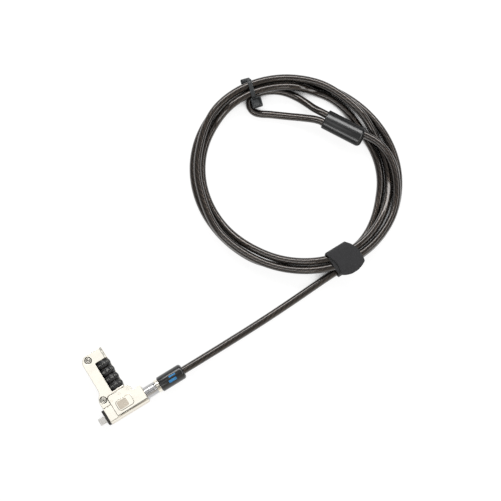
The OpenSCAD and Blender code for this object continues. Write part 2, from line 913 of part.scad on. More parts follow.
module ferrule_cover() {
    color(black_plastic)
    translate([0, 0, swivel_z])
        difference() {
            translate([collar_right, 0, 0])
                rotate([0, 90, 0])
                    rotate_extrude()
                        polygon([
                            [0, 0], [ferrule_r - ferrule_chamfer, 0], [ferrule_r, ferrule_chamfer],
                            [ferrule_r, ferrule_length - ferrule_taper],
                            [ferrule_r - ferrule_taper, ferrule_length], [0, ferrule_length]
                        ]);
            rod_x(bush_left, bush_right, bush_r + run_gap);
            rod_x(bush_left, ferrule_right + over, cable_bore_r);
        }
}

module crimp_bush() {
    color(spring_steel)
    translate([0, 0, swivel_z])
        difference() {
            rod_x(bush_left, bush_right, bush_r);
            rod_x(bush_left + bush_floor, bush_right + over, cable_bore_r);
        }
}

module cable_lead() {
    color(vinyl)
    tube(lead_route, cable_r, lead_sides);
}

module cable_coil() {
    color(vinyl)
    tube(coil_route, cable_r, coil_sides);
}

module cable_eye() {
    color(vinyl)
    tube(eye_route, cable_r, eye_sides);
}

// Doubled section of the eye's sleeve: two barrels with a groove between them

module double_barrel(r) {
    for (s = [-1, 1])
        translate([s * barrel_pitch / 2, 0])
            circle(r);
    square([barrel_pitch, barrel_web * r], center = true);
}

module barrel_bores() {
    for (s = [-1, 1])
        translate([s * barrel_pitch / 2, 0])
            circle(cable_bore_r);
}

module loop_crimp() {
    color(spring_steel)
    on_sleeve()
        translate([0, 0, sleeve_cap])
            linear_extrude(eye_sleeve_length - 2 * sleeve_cap)
                difference() {
                    double_barrel(crimp_r);
                    barrel_bores();
                }
}

module loop_sleeve_cover() {
    color(black_plastic)
    on_sleeve()
        difference() {
            linear_extrude(eye_sleeve_length)
                difference() {
                    double_barrel(eye_cover_r);
                    barrel_bores();
                }
            translate([0, 0, sleeve_cap])
                linear_extrude(eye_sleeve_length - 2 * sleeve_cap)
                    double_barrel(crimp_r + run_gap);
        }
}

// Strap and tie round the bundle

module bundle_strap() {
    half = strap_inner[0] / 2;
    top = strap_inner[1] + 2 * strap_t;
    flap_low = -flap_overhang - half - strap_t;
    color(black_plastic)
    translate([strap_middle[0], strap_middle[1], 0]) {
        along_x(-strap_w / 2, strap_w / 2)
            difference() {
                rounded_box([-half - strap_t, 0], [half + strap_t, top], strap_corner + strap_t);
                rounded_box([-half, strap_t], [half, top - strap_t], strap_corner);
            }
        translate([0, 0, top - e])
            linear_extrude(flap_t)
                intersection() {
                    translate([-strap_w / 2, flap_low])
                        square([strap_w, strap_inner[0]]);
                    translate([0, flap_low + flap_round])
                        circle(flap_round);
                }
    }
}

module bundle_tie() {
    middle = coil_point(360 + tie_angle - coil_start) + coil_point(720 + tie_angle - coil_start);
    half = tie_inner[0] / 2;
    top = tie_inner[1] + 2 * tie_t;
    color(black_plastic)
    translate([middle[0] / 2, middle[1] / 2, 0])
        rotate([0, 0, tie_angle]) {
            along_y(-tie_w / 2, tie_w / 2)
                difference() {
                    rounded_box([-half - tie_t, 0], [half + tie_t, top], tie_corner + tie_t);
                    rounded_box([-half, tie_t], [half, top - tie_t], tie_corner);
                }
            translate([tie_bite - half - tie_t - tie_head[0], -tie_head[1] / 2, tie_inner[1] / 2])
                cube(tie_head);
            translate([half + tie_t - tie_bite, tie_tail_aside - tie_tail[1] / 2, (top - tie_tail[2]) / 2])
                cube(tie_tail);
        }
}

housing();
arm_cover();
rear_plate();
cover_screws();
end_pad();
lock_tip();
detent_spring();
spindle_spring();
button_springs();
reset_screw();
for (i = [0 : wheel_count - 1]) {
    number_wheel(i);
    code_sleeve(i);
}
spindle();
release_button();
locking_pin();
swivel_barrel();
retaining_ring();
ferrule_collar();
ferrule_cover();
crimp_bush();
cable_lead();
cable_coil();
cable_eye();
loop_crimp();
loop_sleeve_cover();
bundle_strap();
bundle_tie();
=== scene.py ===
import math

import bpy
from bpy.props import FloatProperty, FloatVectorProperty, PointerProperty
from mathutils import Matrix, Vector


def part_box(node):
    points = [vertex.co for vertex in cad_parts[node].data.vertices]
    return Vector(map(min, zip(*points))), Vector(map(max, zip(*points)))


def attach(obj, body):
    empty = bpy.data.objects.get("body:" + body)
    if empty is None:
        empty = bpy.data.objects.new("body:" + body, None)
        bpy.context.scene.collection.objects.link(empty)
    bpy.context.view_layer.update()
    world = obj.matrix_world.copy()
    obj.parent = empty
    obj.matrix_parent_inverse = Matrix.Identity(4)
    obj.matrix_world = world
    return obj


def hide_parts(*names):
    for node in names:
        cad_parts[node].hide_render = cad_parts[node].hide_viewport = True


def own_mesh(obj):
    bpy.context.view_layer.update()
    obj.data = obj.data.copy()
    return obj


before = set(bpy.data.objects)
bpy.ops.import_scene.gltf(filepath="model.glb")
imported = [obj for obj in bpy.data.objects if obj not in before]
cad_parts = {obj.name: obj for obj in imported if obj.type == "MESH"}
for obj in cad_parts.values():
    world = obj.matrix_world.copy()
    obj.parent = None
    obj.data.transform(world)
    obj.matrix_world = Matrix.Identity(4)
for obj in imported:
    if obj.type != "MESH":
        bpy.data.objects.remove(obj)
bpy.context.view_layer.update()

bl_info = {
    "name": "Laptop cable lock",
    "version": (1, 0, 0),
    "blender": (4, 5, 0),
    "location": "3D View > Sidebar > Cable lock",
    "description": "Dresses the packed laptop cable lock with its finished pieces and materials",
    "category": "Object",
}

MM = 0.001

# The cable's route, repeated from the part's source, in millimetres and degrees
CABLE_D = 5.5
STRAND_PITCH = 6.05
COIL_EDGE_R = 74
COIL_OVAL = 3.4
COIL_LONG_AXIS = 120
COIL_CENTRE = (187.1, 76.9)
COIL_START = -83
COIL_LEAVE = 1131
COIL_STEP = 6
# Where the strand moves as it winds: from an angle, to an angle, pitches inwards, pitches upwards
COIL_MOVES = (
    (290, 340, 1, 0), (352, 400, 1.15, 0), (434, 484, -1.15, 0), (484, 504, 0, 1),
    (541, 565, 0, -1), (623, 658, 0, 1), (727, 760, 0.15, 0), (741, 775, 0, -1),
    (790, 814, 0, 0.9), (790, 830, -0.7, 0), (820, 842, 0, 0.1), (822, 850, -0.45, 0),
    (908, 938, 0.5, 0), (918, 943, 0, -0.13), (955, 978, 0, 0.13), (960, 993, -0.5, 0),
    (1105, 1140, 0.45, 0),
)
LEAVE_STEPS = 7
# The strands lie on the strap and the tie: the lift there, and the angles where it begins and ends
STRAP_ANGLE = -93
STRAP_LIFT = 1.8
STRAP_RAMP = (-140, -112, -66, -38)
TIE_ANGLE = 85.5
TIE_LIFT = 1.2
TIE_RAMP = (44, 66, 98, 120)
FLOOR_GAP = 0.01
CABLE_START = (28.05, 0, 5.7)
LEAD_POINTS = (
    (56, 0, 5.5), (66, 0.1, 4.4), (76, 0.2, 3.2), (87, 0.3, 2.8), (101, 0.4, 2.8),
    (116, 0.7, 2.8), (131, 1.2, 2.8), (145, 1.8, 3), (156, 2.3, 3.6), (166, 2.7, 4.3),
    (175, 2.9, 4.58),
)
SLEEVE_LOW_END = Vector((241.2, 73.2, 9.9))
SLEEVE_HEADING = math.atan2(26.4, -15.4)
SLEEVE_AXIS = Vector((math.cos(SLEEVE_HEADING), math.sin(SLEEVE_HEADING), 0))
SLEEVE_LENGTH = 30.6
SLEEVE_END_SHORT = 4
EYE_POINTS = (
    (223.4, 110.6, 8), (221, 117.4, 5.6), (217.7, 124.8, 4.1), (211.7, 133.1, 3.97),
    (203.8, 139, 3.97), (197.7, 141.5, 3.97), (192.3, 142.3, 3.97), (188.6, 141, 3.75),
    (186.3, 138.6, 3.35), (185.5, 135.2, 2.95), (186.3, 131.9, 2.8), (188.9, 128.8, 2.8),
    (194.3, 124.9, 2.8), (200.6, 120, 2.85), (206.8, 114.8, 4.2), (213.2, 109.2, 6.6),
)

# The head's moving pieces: the wheels' axis height, in millimetres, and the wheels' numbers
WHEEL_AXIS_HEIGHT = 7
WHEELS = range(1, 5)

# The photograph's camera, in degrees and millimetres
CAMERA_AZIMUTH = -121.9647
CAMERA_ELEVATION = 81.1374
CAMERA_ROLL = 0.1478
CAMERA_DISTANCE = 1344.26
CAMERA_TARGET = (130.7634, 47.6889, 4)
CAMERA_VIEW = 15.066

# Corners nearer than this are one point, in a copied CAD mesh and in a new one
CAD_MERGE = 0.004 * MM
MERGE = 0.001 * MM
# Faces that turn by less than this, in degrees, are one flat face
FLAT_TURN = 0.6
# How near to its plane a rim lies, and how squarely a face has to look along an axis
ON_PLANE = 1e-6
FACING = 0.9

# Places of the head's finishes in a piece's list; the rounded edges take the second, a slightly
# darker plate as painted shade, and the last two are darker still as painted shade
PLAIN, EDGE_SHADE, BLAST_SHADE, SHADED_RECESS = range(4)

# The band that most of a noise texture's values fill, and the stretch in which a wave repeats
NOISE_LOW, NOISE_HIGH = 0.3, 0.7
WAVE_PERIOD = math.pi / 10


def linear(code):
    """The linear colour of an sRGB hex code."""
    parts = [int(code[i:i + 2], 16) / 255 for i in (1, 3, 5)]
    return tuple(c / 12.92 if c <= 0.04045 else ((c + 0.055) / 1.055) ** 2.4 for c in parts)


def length(label, text, millimetres):
    return FloatProperty(
        name=label, description=text, default=millimetres * MM, min=0, unit="LENGTH", precision=5)


def colour(label, text, code):
    return FloatVectorProperty(
        name=label, description=text, default=linear(code), min=0, max=1, subtype="COLOR")


class LockSizes(bpy.types.PropertyGroup):
    cable_d: length("Cable diameter", "Diameter over the vinyl", CABLE_D)
    rope_lay: length(
        "Strand spacing", "From one steel strand to the next, drawn coarse enough to show", 4.6)
    cast_round: length("Cast edges", "Rounding of the die-cast edges of the head", 0.3)
    fine_round: length("Fine edges", "Rounding of small machined and moulded edges", 0.12)
    digit_height: length("Digit height", "Height of a number on a wheel", 2.3)
    strap_w: length("Strap width", "Width of the hook-and-loop strap", 20)
    strap_t: length("Strap thickness", "Thickness of one layer of the strap", 1.1)
    thread: length(
        "Strap thread", "Spacing of the strap's threads, drawn coarse enough to show", 0.9)
    tie_w: length("Tie width", "Width of the cable tie's band", 3)
    sleeve_round: length(
        "Sleeve's closed end", "Rounding at the end of the sleeve where the cable enters", 3)
    sleeve_mouth: length(
        "Sleeve's mouth", "Rounding at the end of the sleeve towards the eye", 0.8)
    ferrule_round: length("Ferrule end", "Rounding at the cable's end of the ferrule", 2)


class LockColours(bpy.types.PropertyGroup):
    nickel: colour("Satin nickel", "Plating of the head", "#f3efe4")
    # A slightly darker plate for the rounded edges: painted shade for their dark reflection
    nickel_edge_shade: colour("Worn nickel", "Plating along the rubbed edges", "#eee9dc")
    # A darker matt plate: painted shade on the casting's sides, in the thumb recess and in the
    # engraved rings
    blast_shade: colour("Blasted nickel", "Sides of the casting, thumb recess and rings", "#e2d8c8")
    chrome: colour("Chrome", "Plating of the swivel barrel", "#bfbfc0")
    # Nearly black: painted shade in the screws' grooves and the cover's counterbores
    recess_shade: colour("Oiled steel", "Grooves and counterbores of the screws", "#2e2b27")
    steel: colour("Stainless steel", "Tip, pin, spindle and crimps", "#dcdad6")
    spring: colour("Spring steel", "Springs and retaining ring", "#8f9298")
    brass: colour("Brass", "Code sleeves and reset screw", "#b99a52")
    vinyl_dark: colour("Vinyl, dark", "Smoky vinyl between the strands", "#221d1a")
    vinyl_light: colour("Vinyl, light", "Strands that show through the vinyl", "#463c34")
    moulding: colour("Black moulding", "Ferrule and sleeve", "#0e0f11")
    wheel: colour("Wheels", "Moulded number wheels", "#151516")
    digit: colour("Digits", "Paint of the numbers", "#7f7f7b")
    rubber: colour("Rubber", "End pad at the nose", "#211e1b")
    nylon: colour("Nylon", "Cable tie", "#232628")
    strap: colour("Strap", "Woven strap", "#262628")
    ink: colour("Blue ink", "Printed bars on the ferrule", "#2a7db6")
    floor: colour("Floor", "Pale floor", "#f4f4f4")


# Adding, selecting and finishing

def pick(piece):
    """Makes a piece the only selected and active object."""
    bpy.ops.object.select_all(action="DESELECT")
    piece.select_set(True)
    bpy.context.view_layer.objects.active = piece


def named(name):
    """Names the active object and its data."""
    piece = bpy.context.object
    piece.name = piece.data.name = name
    return piece


def added(name, primitive, **settings):
    """Runs the operator that adds a primitive, with nothing else selected."""
    bpy.ops.object.select_all(action="DESELECT")
    primitive(**settings)
    return named(name)


def settle(piece):
    """Puts a piece's place, turn and scale into its mesh."""
    pick(piece)
    bpy.ops.object.transform_apply(location=True, rotation=True, scale=True)


def edit(piece, kind, test):
    """Opens edit mode with the faces or edges selected whose middle and direction pass a test."""
    pick(piece)
    mesh = piece.data
    bpy.context.tool_settings.mesh_select_mode = (False, kind == "EDGE", kind == "FACE")
    for parts in (mesh.vertices, mesh.edges, mesh.polygons):
        parts.foreach_set("select", [False] * len(parts))
    if kind == "FACE":
        for face in mesh.polygons:
            face.select = test(face.center, face.normal)
    else:
        for line in mesh.edges:
            a, b = (mesh.vertices[i].co for i in line.vertices)
            line.select = test((a + b) / 2, b - a)
    bpy.ops.object.mode_set(mode="EDIT")


def everywhere(middle, direction):
    """The test that every face and edge passes."""
    return True


def done():
    bpy.ops.object.mode_set(mode="OBJECT")


def push(x, y, z):
    """Extrudes the selected faces."""
    bpy.ops.mesh.extrude_region_move(TRANSFORM_OT_translate={"value": (x, y, z)})


def mend(piece, merge=0, outward=False):
    """Merges corners that are nearer than a distance, and turns the faces outwards."""
    edit(piece, "FACE", everywhere)
    if merge:
        bpy.ops.mesh.remove_doubles(threshold=merge)
    if outward:
        bpy.ops.mesh.normals_make_consistent(inside=False)
    done()


def round_rim(piece, axis, place, radius, segments):
    """Rounds the edges that lie in the plane at a place along an axis."""
    edit(piece, "EDGE", lambda middle, along: abs(middle[axis] - place) < ON_PLANE)
    bpy.ops.mesh.bevel(offset=radius, segments=segments, profile=0.5)
    done()


def modify(piece, kind, **settings):
    """Adds a modifier with its settings and applies it."""
    pick(piece)
    modifier = piece.modifiers.new(kind, kind)
    for key, value in settings.items():
        setattr(modifier, key, value)
    bpy.ops.object.modifier_apply(modifier=modifier.name)


def round_edges(piece, radius, segments, sharp=40, **settings):
    """Rounds all edges that turn by more than an angle in degrees."""
    modify(piece, "BEVEL", width=radius, segments=segments, limit_method="ANGLE",
           angle_limit=math.radians(sharp), **settings)


def thicken(piece, thickness, offset):
    """Makes a wall of a sheet, with its faces outwards."""
    modify(piece, "SOLIDIFY", thickness=thickness, offset=offset)
    mend(piece, outward=True)


def soften(piece, degrees=35):
    """Smooth shading across all edges that turn by less than an angle."""
    pick(piece)
    bpy.ops.object.shade_smooth_by_angle(angle=math.radians(degrees))


def hand_over(piece, body, slot, nodes, *materials):
    """Gives a finished piece its materials and body, and hides the nodes that it stands for; its
    slot is not used.
    """
    piece.data.materials.clear()
    for material in materials:
        piece.data.materials.append(material)
    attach(piece, body)
    if nodes:
        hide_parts(*nodes)
    return piece


def node_copy(node, name):
    """A new piece with a copy of a node's mesh."""
    piece = bpy.data.objects.new(name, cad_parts[node].data.copy())
    bpy.context.scene.collection.objects.link(piece)
    return piece


def rounded_copy(node, name, radius, segments=3, sharp=32, clamp=False, cuts=()):
    """A copy of a node's solid with its edges rounded; the rounded faces take the second material,
    on the head a slightly darker plate of painted shade.

    A cut through the middle of a hole, a point and a normal, splits the flat face round it cleanly.
    """
    piece = node_copy(node, name)
    edit(piece, "FACE", everywhere)
    bpy.ops.mesh.remove_doubles(threshold=CAD_MERGE)
    for point, normal in cuts:
        bpy.ops.mesh.select_all(action="SELECT")
        bpy.ops.mesh.bisect(plane_co=point, plane_no=normal)
        bpy.ops.mesh.mark_seam()
    bpy.ops.mesh.select_all(action="SELECT")
    bpy.ops.mesh.dissolve_limited(angle_limit=math.radians(FLAT_TURN), delimit={"SEAM"})
    done()
    piece.data.materials.clear()
    round_edges(piece, radius, segments, sharp, material=EDGE_SHADE, use_clamp_overlap=clamp,
                miter_outer="MITER_ARC", loop_slide=True, face_strength_mode="FSTR_ALL")
    soften(piece)
    modify(piece, "WEIGHTED_NORMAL", weight=100, keep_sharp=True, use_face_influence=True)
    return piece


def screw_places():
    """The middle and the radius of each of the cover's screws, from the node's two solids."""
    low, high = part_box("cover_screws")
    points = [v.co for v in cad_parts["cover_screws"].data.vertices]
    places = []
    for far in (False, True):
        mine = [p for p in points if (p.y > (low.y + high.y) / 2) == far]
        xs, ys = [p.x for p in mine], [p.y for p in mine]
        middle = Vector(((min(xs) + max(xs)) / 2, (min(ys) + max(ys)) / 2, 0))
        places.append((middle, (max(xs) - min(xs)) / 2))
    return places


def filleted(corners):
    """Points of a path that turns each corner (across, up, size of the bend) in a smooth bend."""
    bend_steps = 8
    points = [Vector(corners[0][:2])]
    for before, corner, after in zip(corners, corners[1:], corners[2:]):
        b = Vector(corner[:2])
        back, on = (Vector(before[:2]) - b).normalized(), (Vector(after[:2]) - b).normalized()
        start, stop = b + back * corner[2], b + on * corner[2]
        for i in range(bend_steps + 1):
            s = i / bend_steps
            points.append((1 - s) ** 2 * start + 2 * s * (1 - s) * b + s ** 2 * stop)
    return points + [Vector(corners[-1][:2])]


def evenly(points, step):
    """The same path with its points a step apart."""
    runs = [(b - a).length for a, b in zip(points, points[1:])]
    count = max(2, round(sum(runs) / step))
    out, run, passed = [], 0, 0
    for i in range(count + 1):
        along = sum(runs) * i / count
        while run < len(runs) - 1 and along > passed + runs[run]:
            passed += runs[run]
            run += 1
        share = (along - passed) / runs[run] if runs[run] else 0
        out.append(points[run].lerp(points[run + 1], min(1, share)))
    return out


def grid(name, columns, rows, place):
    """A grid with the corner of each row and column put in its place."""
    piece = added(name, bpy.ops.mesh.primitive_grid_add,
                  x_subdivisions=columns, y_subdivisions=rows, size=1)
    for i, vertex in enumerate(piece.data.vertices):
        row, column = divmod(i, columns + 1)
        vertex.co = place(row, column)
    return piece


def ribbon(name, middle, side, halves, columns):
    """A strip from its middle line, the direction across it and half its width at each point."""
    return grid(name, columns, len(middle) - 1, lambda row, column:
                middle[row] + side * halves[row] * (2 * column / columns - 1))


def block(name, size, middle):
    """A block round its middle point, in millimetres."""
    piece = added(name, bpy.ops.mesh.primitive_cube_add, size=1, location=MM * Vector(middle))
    piece.scale = MM * Vector(size)
    settle(piece)
    return piece


# Materials

def add_node(tree, kind, links=(), **settings):
    """Adds a node with its settings; each link is a socket name with a value or another socket."""
    node = tree.nodes.new(kind)
    for key, value in settings.items():
        setattr(node, key, value)
    for socket, value in dict(links).items():
        if isinstance(value, bpy.types.NodeSocket):
            tree.links.new(value, node.inputs[socket])
        else:
            node.inputs[socket].default_value = value
    return node


def blank(name):
    """The empty node tree of a new material, or None where the material is already made."""
    if name in bpy.data.materials:
        return None
    material = bpy.data.materials.new(name)
    material.use_nodes = True
    material.node_tree.nodes.clear()
    return material.node_tree


def shaded(tree, name, links):
    """Ends a material with its surface shader."""
    shader = add_node(tree, "ShaderNodeBsdfPrincipled", links)
    add_node(tree, "ShaderNodeOutputMaterial", {"Surface": shader.outputs[0]})
    return bpy.data.materials[name]


def tints():
    return bpy.context.scene.lock_colours


def full(rgb, share=1):
    """A colour times a share, with its alpha."""
    return (*(share * c for c in rgb), 1)


def plated(name, rgb, rough, grain, relief):
    """Plated or machined metal: a fine mottle in its gloss, and a relief as deep as its finish."""
    tree = blank(name)
    if tree is None:
        return bpy.data.materials[name]
    mottle = 9 * MM
    where = add_node(tree, "ShaderNodeTexCoord").outputs["Object"]
    fine = add_node(tree, "ShaderNodeTexNoise", {
        "Vector": where, "Scale": 1 / grain, "Detail": 4})
    broad = add_node(tree, "ShaderNodeTexNoise", {
        "Vector": where, "Scale": 1 / mottle, "Detail": 3})
    gloss = add_node(tree, "ShaderNodeMapRange", {
        "Value": broad.outputs[0], "From Min": NOISE_LOW, "From Max": NOISE_HIGH,
        "To Min": 0.8 * rough, "To Max": 1.2 * rough})
    tone = add_node(tree, "ShaderNodeMix", {
        "Factor": broad.outputs[0], "A": full(rgb, 0.93), "B": full(rgb)}, data_type="RGBA")
    bump = add_node(tree, "ShaderNodeBump", {
        "Height": fine.outputs[0], "Strength": 0.25, "Distance": relief})
    return shaded(tree, name, {
        "Base Color": tone.outputs["Result"], "Metallic": 1, "Roughness": gloss.outputs[0],
        "Normal": bump.outputs[0]})


def satin_nickel():
    # Satin nickel plate on die-cast zinc: a warm pale metal that blurs what it mirrors
    return plated("satin_nickel_on_zinc", tints().nickel, 0.17, 0.5 * MM, 0.004 * MM)


def edge_shaded_nickel():
    # The same plate on the rounded edges: a softer gloss and a slightly darker tint, painted shade
    # for the edges' dark reflection
    return plated("rubbed_nickel_edges", tints().nickel_edge_shade, 0.26, 0.5 * MM, 0.002 * MM)


def blast_shade_nickel():
    # Bead-blast finish on the nickel: matt, with a darker grey-beige tint that is painted shade, so
    # that it looks darker than the plate beside it
    return plated("bead_blasted_nickel", tints().blast_shade, 0.32, 0.25 * MM, 0.01 * MM)


def polished_chrome():
    # Polished chrome plate on turned brass: a cool bright metal that shows the lamps as long bands
    return plated("polished_chrome_plate", tints().chrome, 0.28, 0.6 * MM, 0)


def milled_steel():
    # Milled stainless steel: grey, with a short soft highlight
    return plated("milled_stainless_steel", tints().steel, 0.25, 0.3 * MM, 0.01 * MM)


def recess_shade_steel():
    # Steel painted nearly black: painted shade in the screws' grooves and the cover's counterbores
    return plated("oil_darkened_steel", tints().recess_shade, 0.5, 0.3 * MM, 0.01 * MM)


def hard_steel():
    # Drawn spring steel: darker and a little oily
    return plated("drawn_spring_steel", tints().spring, 0.3, 0.3 * MM, 0.01 * MM)


def turned_brass():
    # Turned brass: yellow metal with a soft gloss
    return plated("turned_brass", tints().brass, 0.28, 0.3 * MM, 0.01 * MM)


def moulded(name, rgb, rough, coat, grain, relief):
    """Moulded plastic or rubber: a fine spark-eroded grain and a slight change of tone."""
    tree = blank(name)
    if tree is None:
        return bpy.data.materials[name]
    mottle = 6 * MM
    where = add_node(tree, "ShaderNodeTexCoord").outputs["Object"]
    fine = add_node(tree, "ShaderNodeTexNoise", {
        "Vector": where, "Scale": 1 / grain, "Detail": 5})
    broad = add_node(tree, "ShaderNodeTexNoise", {
        "Vector": where, "Scale": 1 / mottle, "Detail": 3})
    tone = add_node(tree, "ShaderNodeMix", {
        "Factor": broad.outputs[0], "A": full(rgb, 0.75), "B": full(rgb, 1.25)}, data_type="RGBA")
    gloss = add_node(tree, "ShaderNodeMapRange", {
        "Value": fine.outputs[0], "From Min": NOISE_LOW, "From Max": NOISE_HIGH,
        "To Min": 0.85 * rough, "To Max": 1.15 * rough})
    bump = add_node(tree, "ShaderNodeBump", {
        "Height": fine.outputs[0], "Strength": 0.3, "Distance": relief})
    return shaded(tree, name, {
        "Base Color": tone.outputs["Result"], "Roughness": gloss.outputs[0], "IOR": 1.5,
        "Coat Weight": coat, "Coat Roughness": 0.1, "Normal": bump.outputs[0]})


def glossy_vinyl():
    # Moulded PVC over the crimps: black, with a soft gloss that stretches the lamps to long lines
    return moulded("glossy_moulded_pvc", tints().moulding, 0.3, 0.5, 0.25 * MM, 0.006 * MM)


def wheel_acetal():
    # Moulded acetal: black, slightly waxy
    return moulded("moulded_black_acetal", tints().wheel, 0.38, 0, 0.2 * MM, 0.02 * MM)


def digit_paint():
    # Pad-printed enamel: grey and flat
    return moulded("pad_printed_enamel", tints().digit, 0.5, 0, 0.15 * MM, 0.01 * MM)


def pad_rubber():
    # Moulded nitrile rubber: brownish black and matt
    return moulded("moulded_nitrile_rubber", tints().rubber, 0.65, 0, 0.25 * MM, 0.04 * MM)


def tie_nylon():
    # Moulded nylon: dark grey with a dull gloss
    return moulded("moulded_nylon", tints().nylon, 0.42, 0, 0.3 * MM, 0.03 * MM)


def printed_ink():
    # Screen-printed ink: a flat even blue that lies on the gloss below it
    return moulded("screen_printed_ink", tints().ink, 0.35, 0.2, 0.2 * MM, 0.01 * MM)


def cable_vinyl(run):
    # Smoky vinyl extruded over stranded steel rope: the twisted strands show through as brown and
    # black stripes, and the smooth skin carries long thin highlights
    name = "smoky_vinyl_on_steel_rope"
    tree = blank(name)
    if tree is None:
        return bpy.data.materials[name]
    strands, cloud = 6, 14 * MM
    # The stripes climb at 45 degrees on the map, as many round the cable as there are strands
    climb = math.sqrt(2) * WAVE_PERIOD
    lay = bpy.context.scene.lock_sizes.rope_lay
    place = add_node(tree, "ShaderNodeTexCoord")
    twist = add_node(tree, "ShaderNodeMapping", {
        "Vector": place.outputs["UV"], "Rotation": (0, 0, -math.pi / 4),
        "Scale": (climb * run / lay, climb * strands, 1)})
    rope = add_node(tree, "ShaderNodeTexWave", {
        "Vector": twist.outputs[0], "Scale": 1, "Distortion": 0.6, "Detail": 1,
        "Detail Scale": 1.5})
    smoke = add_node(tree, "ShaderNodeTexNoise", {
        "Vector": place.outputs["Object"], "Scale": 1 / cloud, "Detail": 3})
    haze = add_node(tree, "ShaderNodeMapRange", {
        "Value": smoke.outputs[0], "From Min": NOISE_LOW, "From Max": NOISE_HIGH,
        "To Min": 0.35, "To Max": 1})
    show = add_node(tree, "ShaderNodeMath", {
        0: rope.outputs["Fac"], 1: haze.outputs[0]}, operation="MULTIPLY")
    tone = add_node(tree, "ShaderNodeMix", {
        "Factor": show.outputs[0], "A": full(tints().vinyl_dark), "B": full(tints().vinyl_light)},
        data_type="RGBA")
    bump = add_node(tree, "ShaderNodeBump", {
        "Height": rope.outputs["Fac"], "Strength": 0.1, "Distance": 0.15 * MM})
    return shaded(tree, name, {
        "Base Color": tone.outputs["Result"], "Metallic": 1, "Roughness": 0.4,
        "Normal": bump.outputs[0], "Coat Weight": 1, "Coat Roughness": 0.14, "Coat IOR": 1.6})


def strap_weave(width, run):
    # Woven nylon with a napped face: a plain weave that shows as a fine grid, with a soft bloom
    name = "woven_nylon_strap"
    tree = blank(name)
    if tree is None:
        return bpy.data.materials[name]
    nap_size = 0.6 * MM
    thread = bpy.context.scene.lock_sizes.thread
    place = add_node(tree, "ShaderNodeTexCoord")
    flat = add_node(tree, "ShaderNodeMapping", {
        "Vector": place.outputs["UV"],
        "Scale": (WAVE_PERIOD * width / thread, WAVE_PERIOD * run / thread, 1)})
    warp, weft = (
        add_node(tree, "ShaderNodeTexWave", {
            "Vector": flat.outputs[0], "Scale": 1, "Distortion": 0.4}, bands_direction=way)
        for way in "XY")
    cloth = add_node(tree, "ShaderNodeMath", {
        0: warp.outputs["Fac"], 1: weft.outputs["Fac"]}, operation="MULTIPLY")
    nap = add_node(tree, "ShaderNodeTexNoise", {
        "Vector": place.outputs["Object"], "Scale": 1 / nap_size, "Detail": 4})
    relief = add_node(tree, "ShaderNodeMath", {
        0: cloth.outputs[0], 1: nap.outputs[0]}, operation="ADD")
    tone = add_node(tree, "ShaderNodeMix", {
        "Factor": relief.outputs[0], "A": full(tints().strap, 0.55), "B": full(tints().strap, 1.3)},
        data_type="RGBA")
    bump = add_node(tree, "ShaderNodeBump", {
        "Height": relief.outputs[0], "Strength": 0.5, "Distance": 0.2 * MM})
    return shaded(tree, name, {
        "Base Color": tone.outputs["Result"], "Roughness": 0.85, "Normal": bump.outputs[0],
        "Sheen Weight": 0.1, "Sheen Roughness": 0.5})


# The cable's route

def smooth(a, low, high):
    s = min(1, max(0, (a - low) / (high - low)))
    return s * s * (3 - 2 * s)


def ramped(a, height, ramp):
    """A height that rises between the first two values of a ramp and falls between the others."""
    return height * smooth(a, *ramp[:2]) * (1 - smooth(a, *ramp[2:]))


def wrapped(a, middle):
    """The same angle within half a turn of a middle one."""
    return a - 360 * math.floor((a - middle + 180) / 360)


def rest_lift(angle):
    return (ramped(wrapped(angle, STRAP_ANGLE), STRAP_LIFT, STRAP_RAMP)
            + ramped(wrapped(angle, TIE_ANGLE), TIE_LIFT, TIE_RAMP))


def coil_point(w):
    """The strand's middle after it has wound through an angle."""
    angle = COIL_START + w
    columns = sum(m[2] * smooth(w, m[0], m[1]) for m in COIL_MOVES)
    layers = sum(m[3] * smooth(w, m[0], m[1]) for m in COIL_MOVES)
    edge = COIL_EDGE_R + COIL_OVAL * math.cos(math.radians(2 * (angle - COIL_LONG_AXIS)))
    r = edge - CABLE_D / 2 - STRAND_PITCH * columns
    turn = math.radians(angle)
    return Vector((
        COIL_CENTRE[0] + r * math.cos(turn), COIL_CENTRE[1] + r * math.sin(turn),
        CABLE_D / 2 + FLOOR_GAP + STRAND_PITCH * layers + rest_lift(angle)))


def coil_heading(w):
    return (coil_point(w + 0.5) - coil_point(w - 0.5)).normalized()


def hermite(p, u, q, v, s):
    return ((2 * s ** 3 - 3 * s ** 2 + 1) * p + (s ** 3 - 2 * s ** 2 + s) * u
            + (3 * s ** 2 - 2 * s ** 3) * q + (s ** 3 - s ** 2) * v)


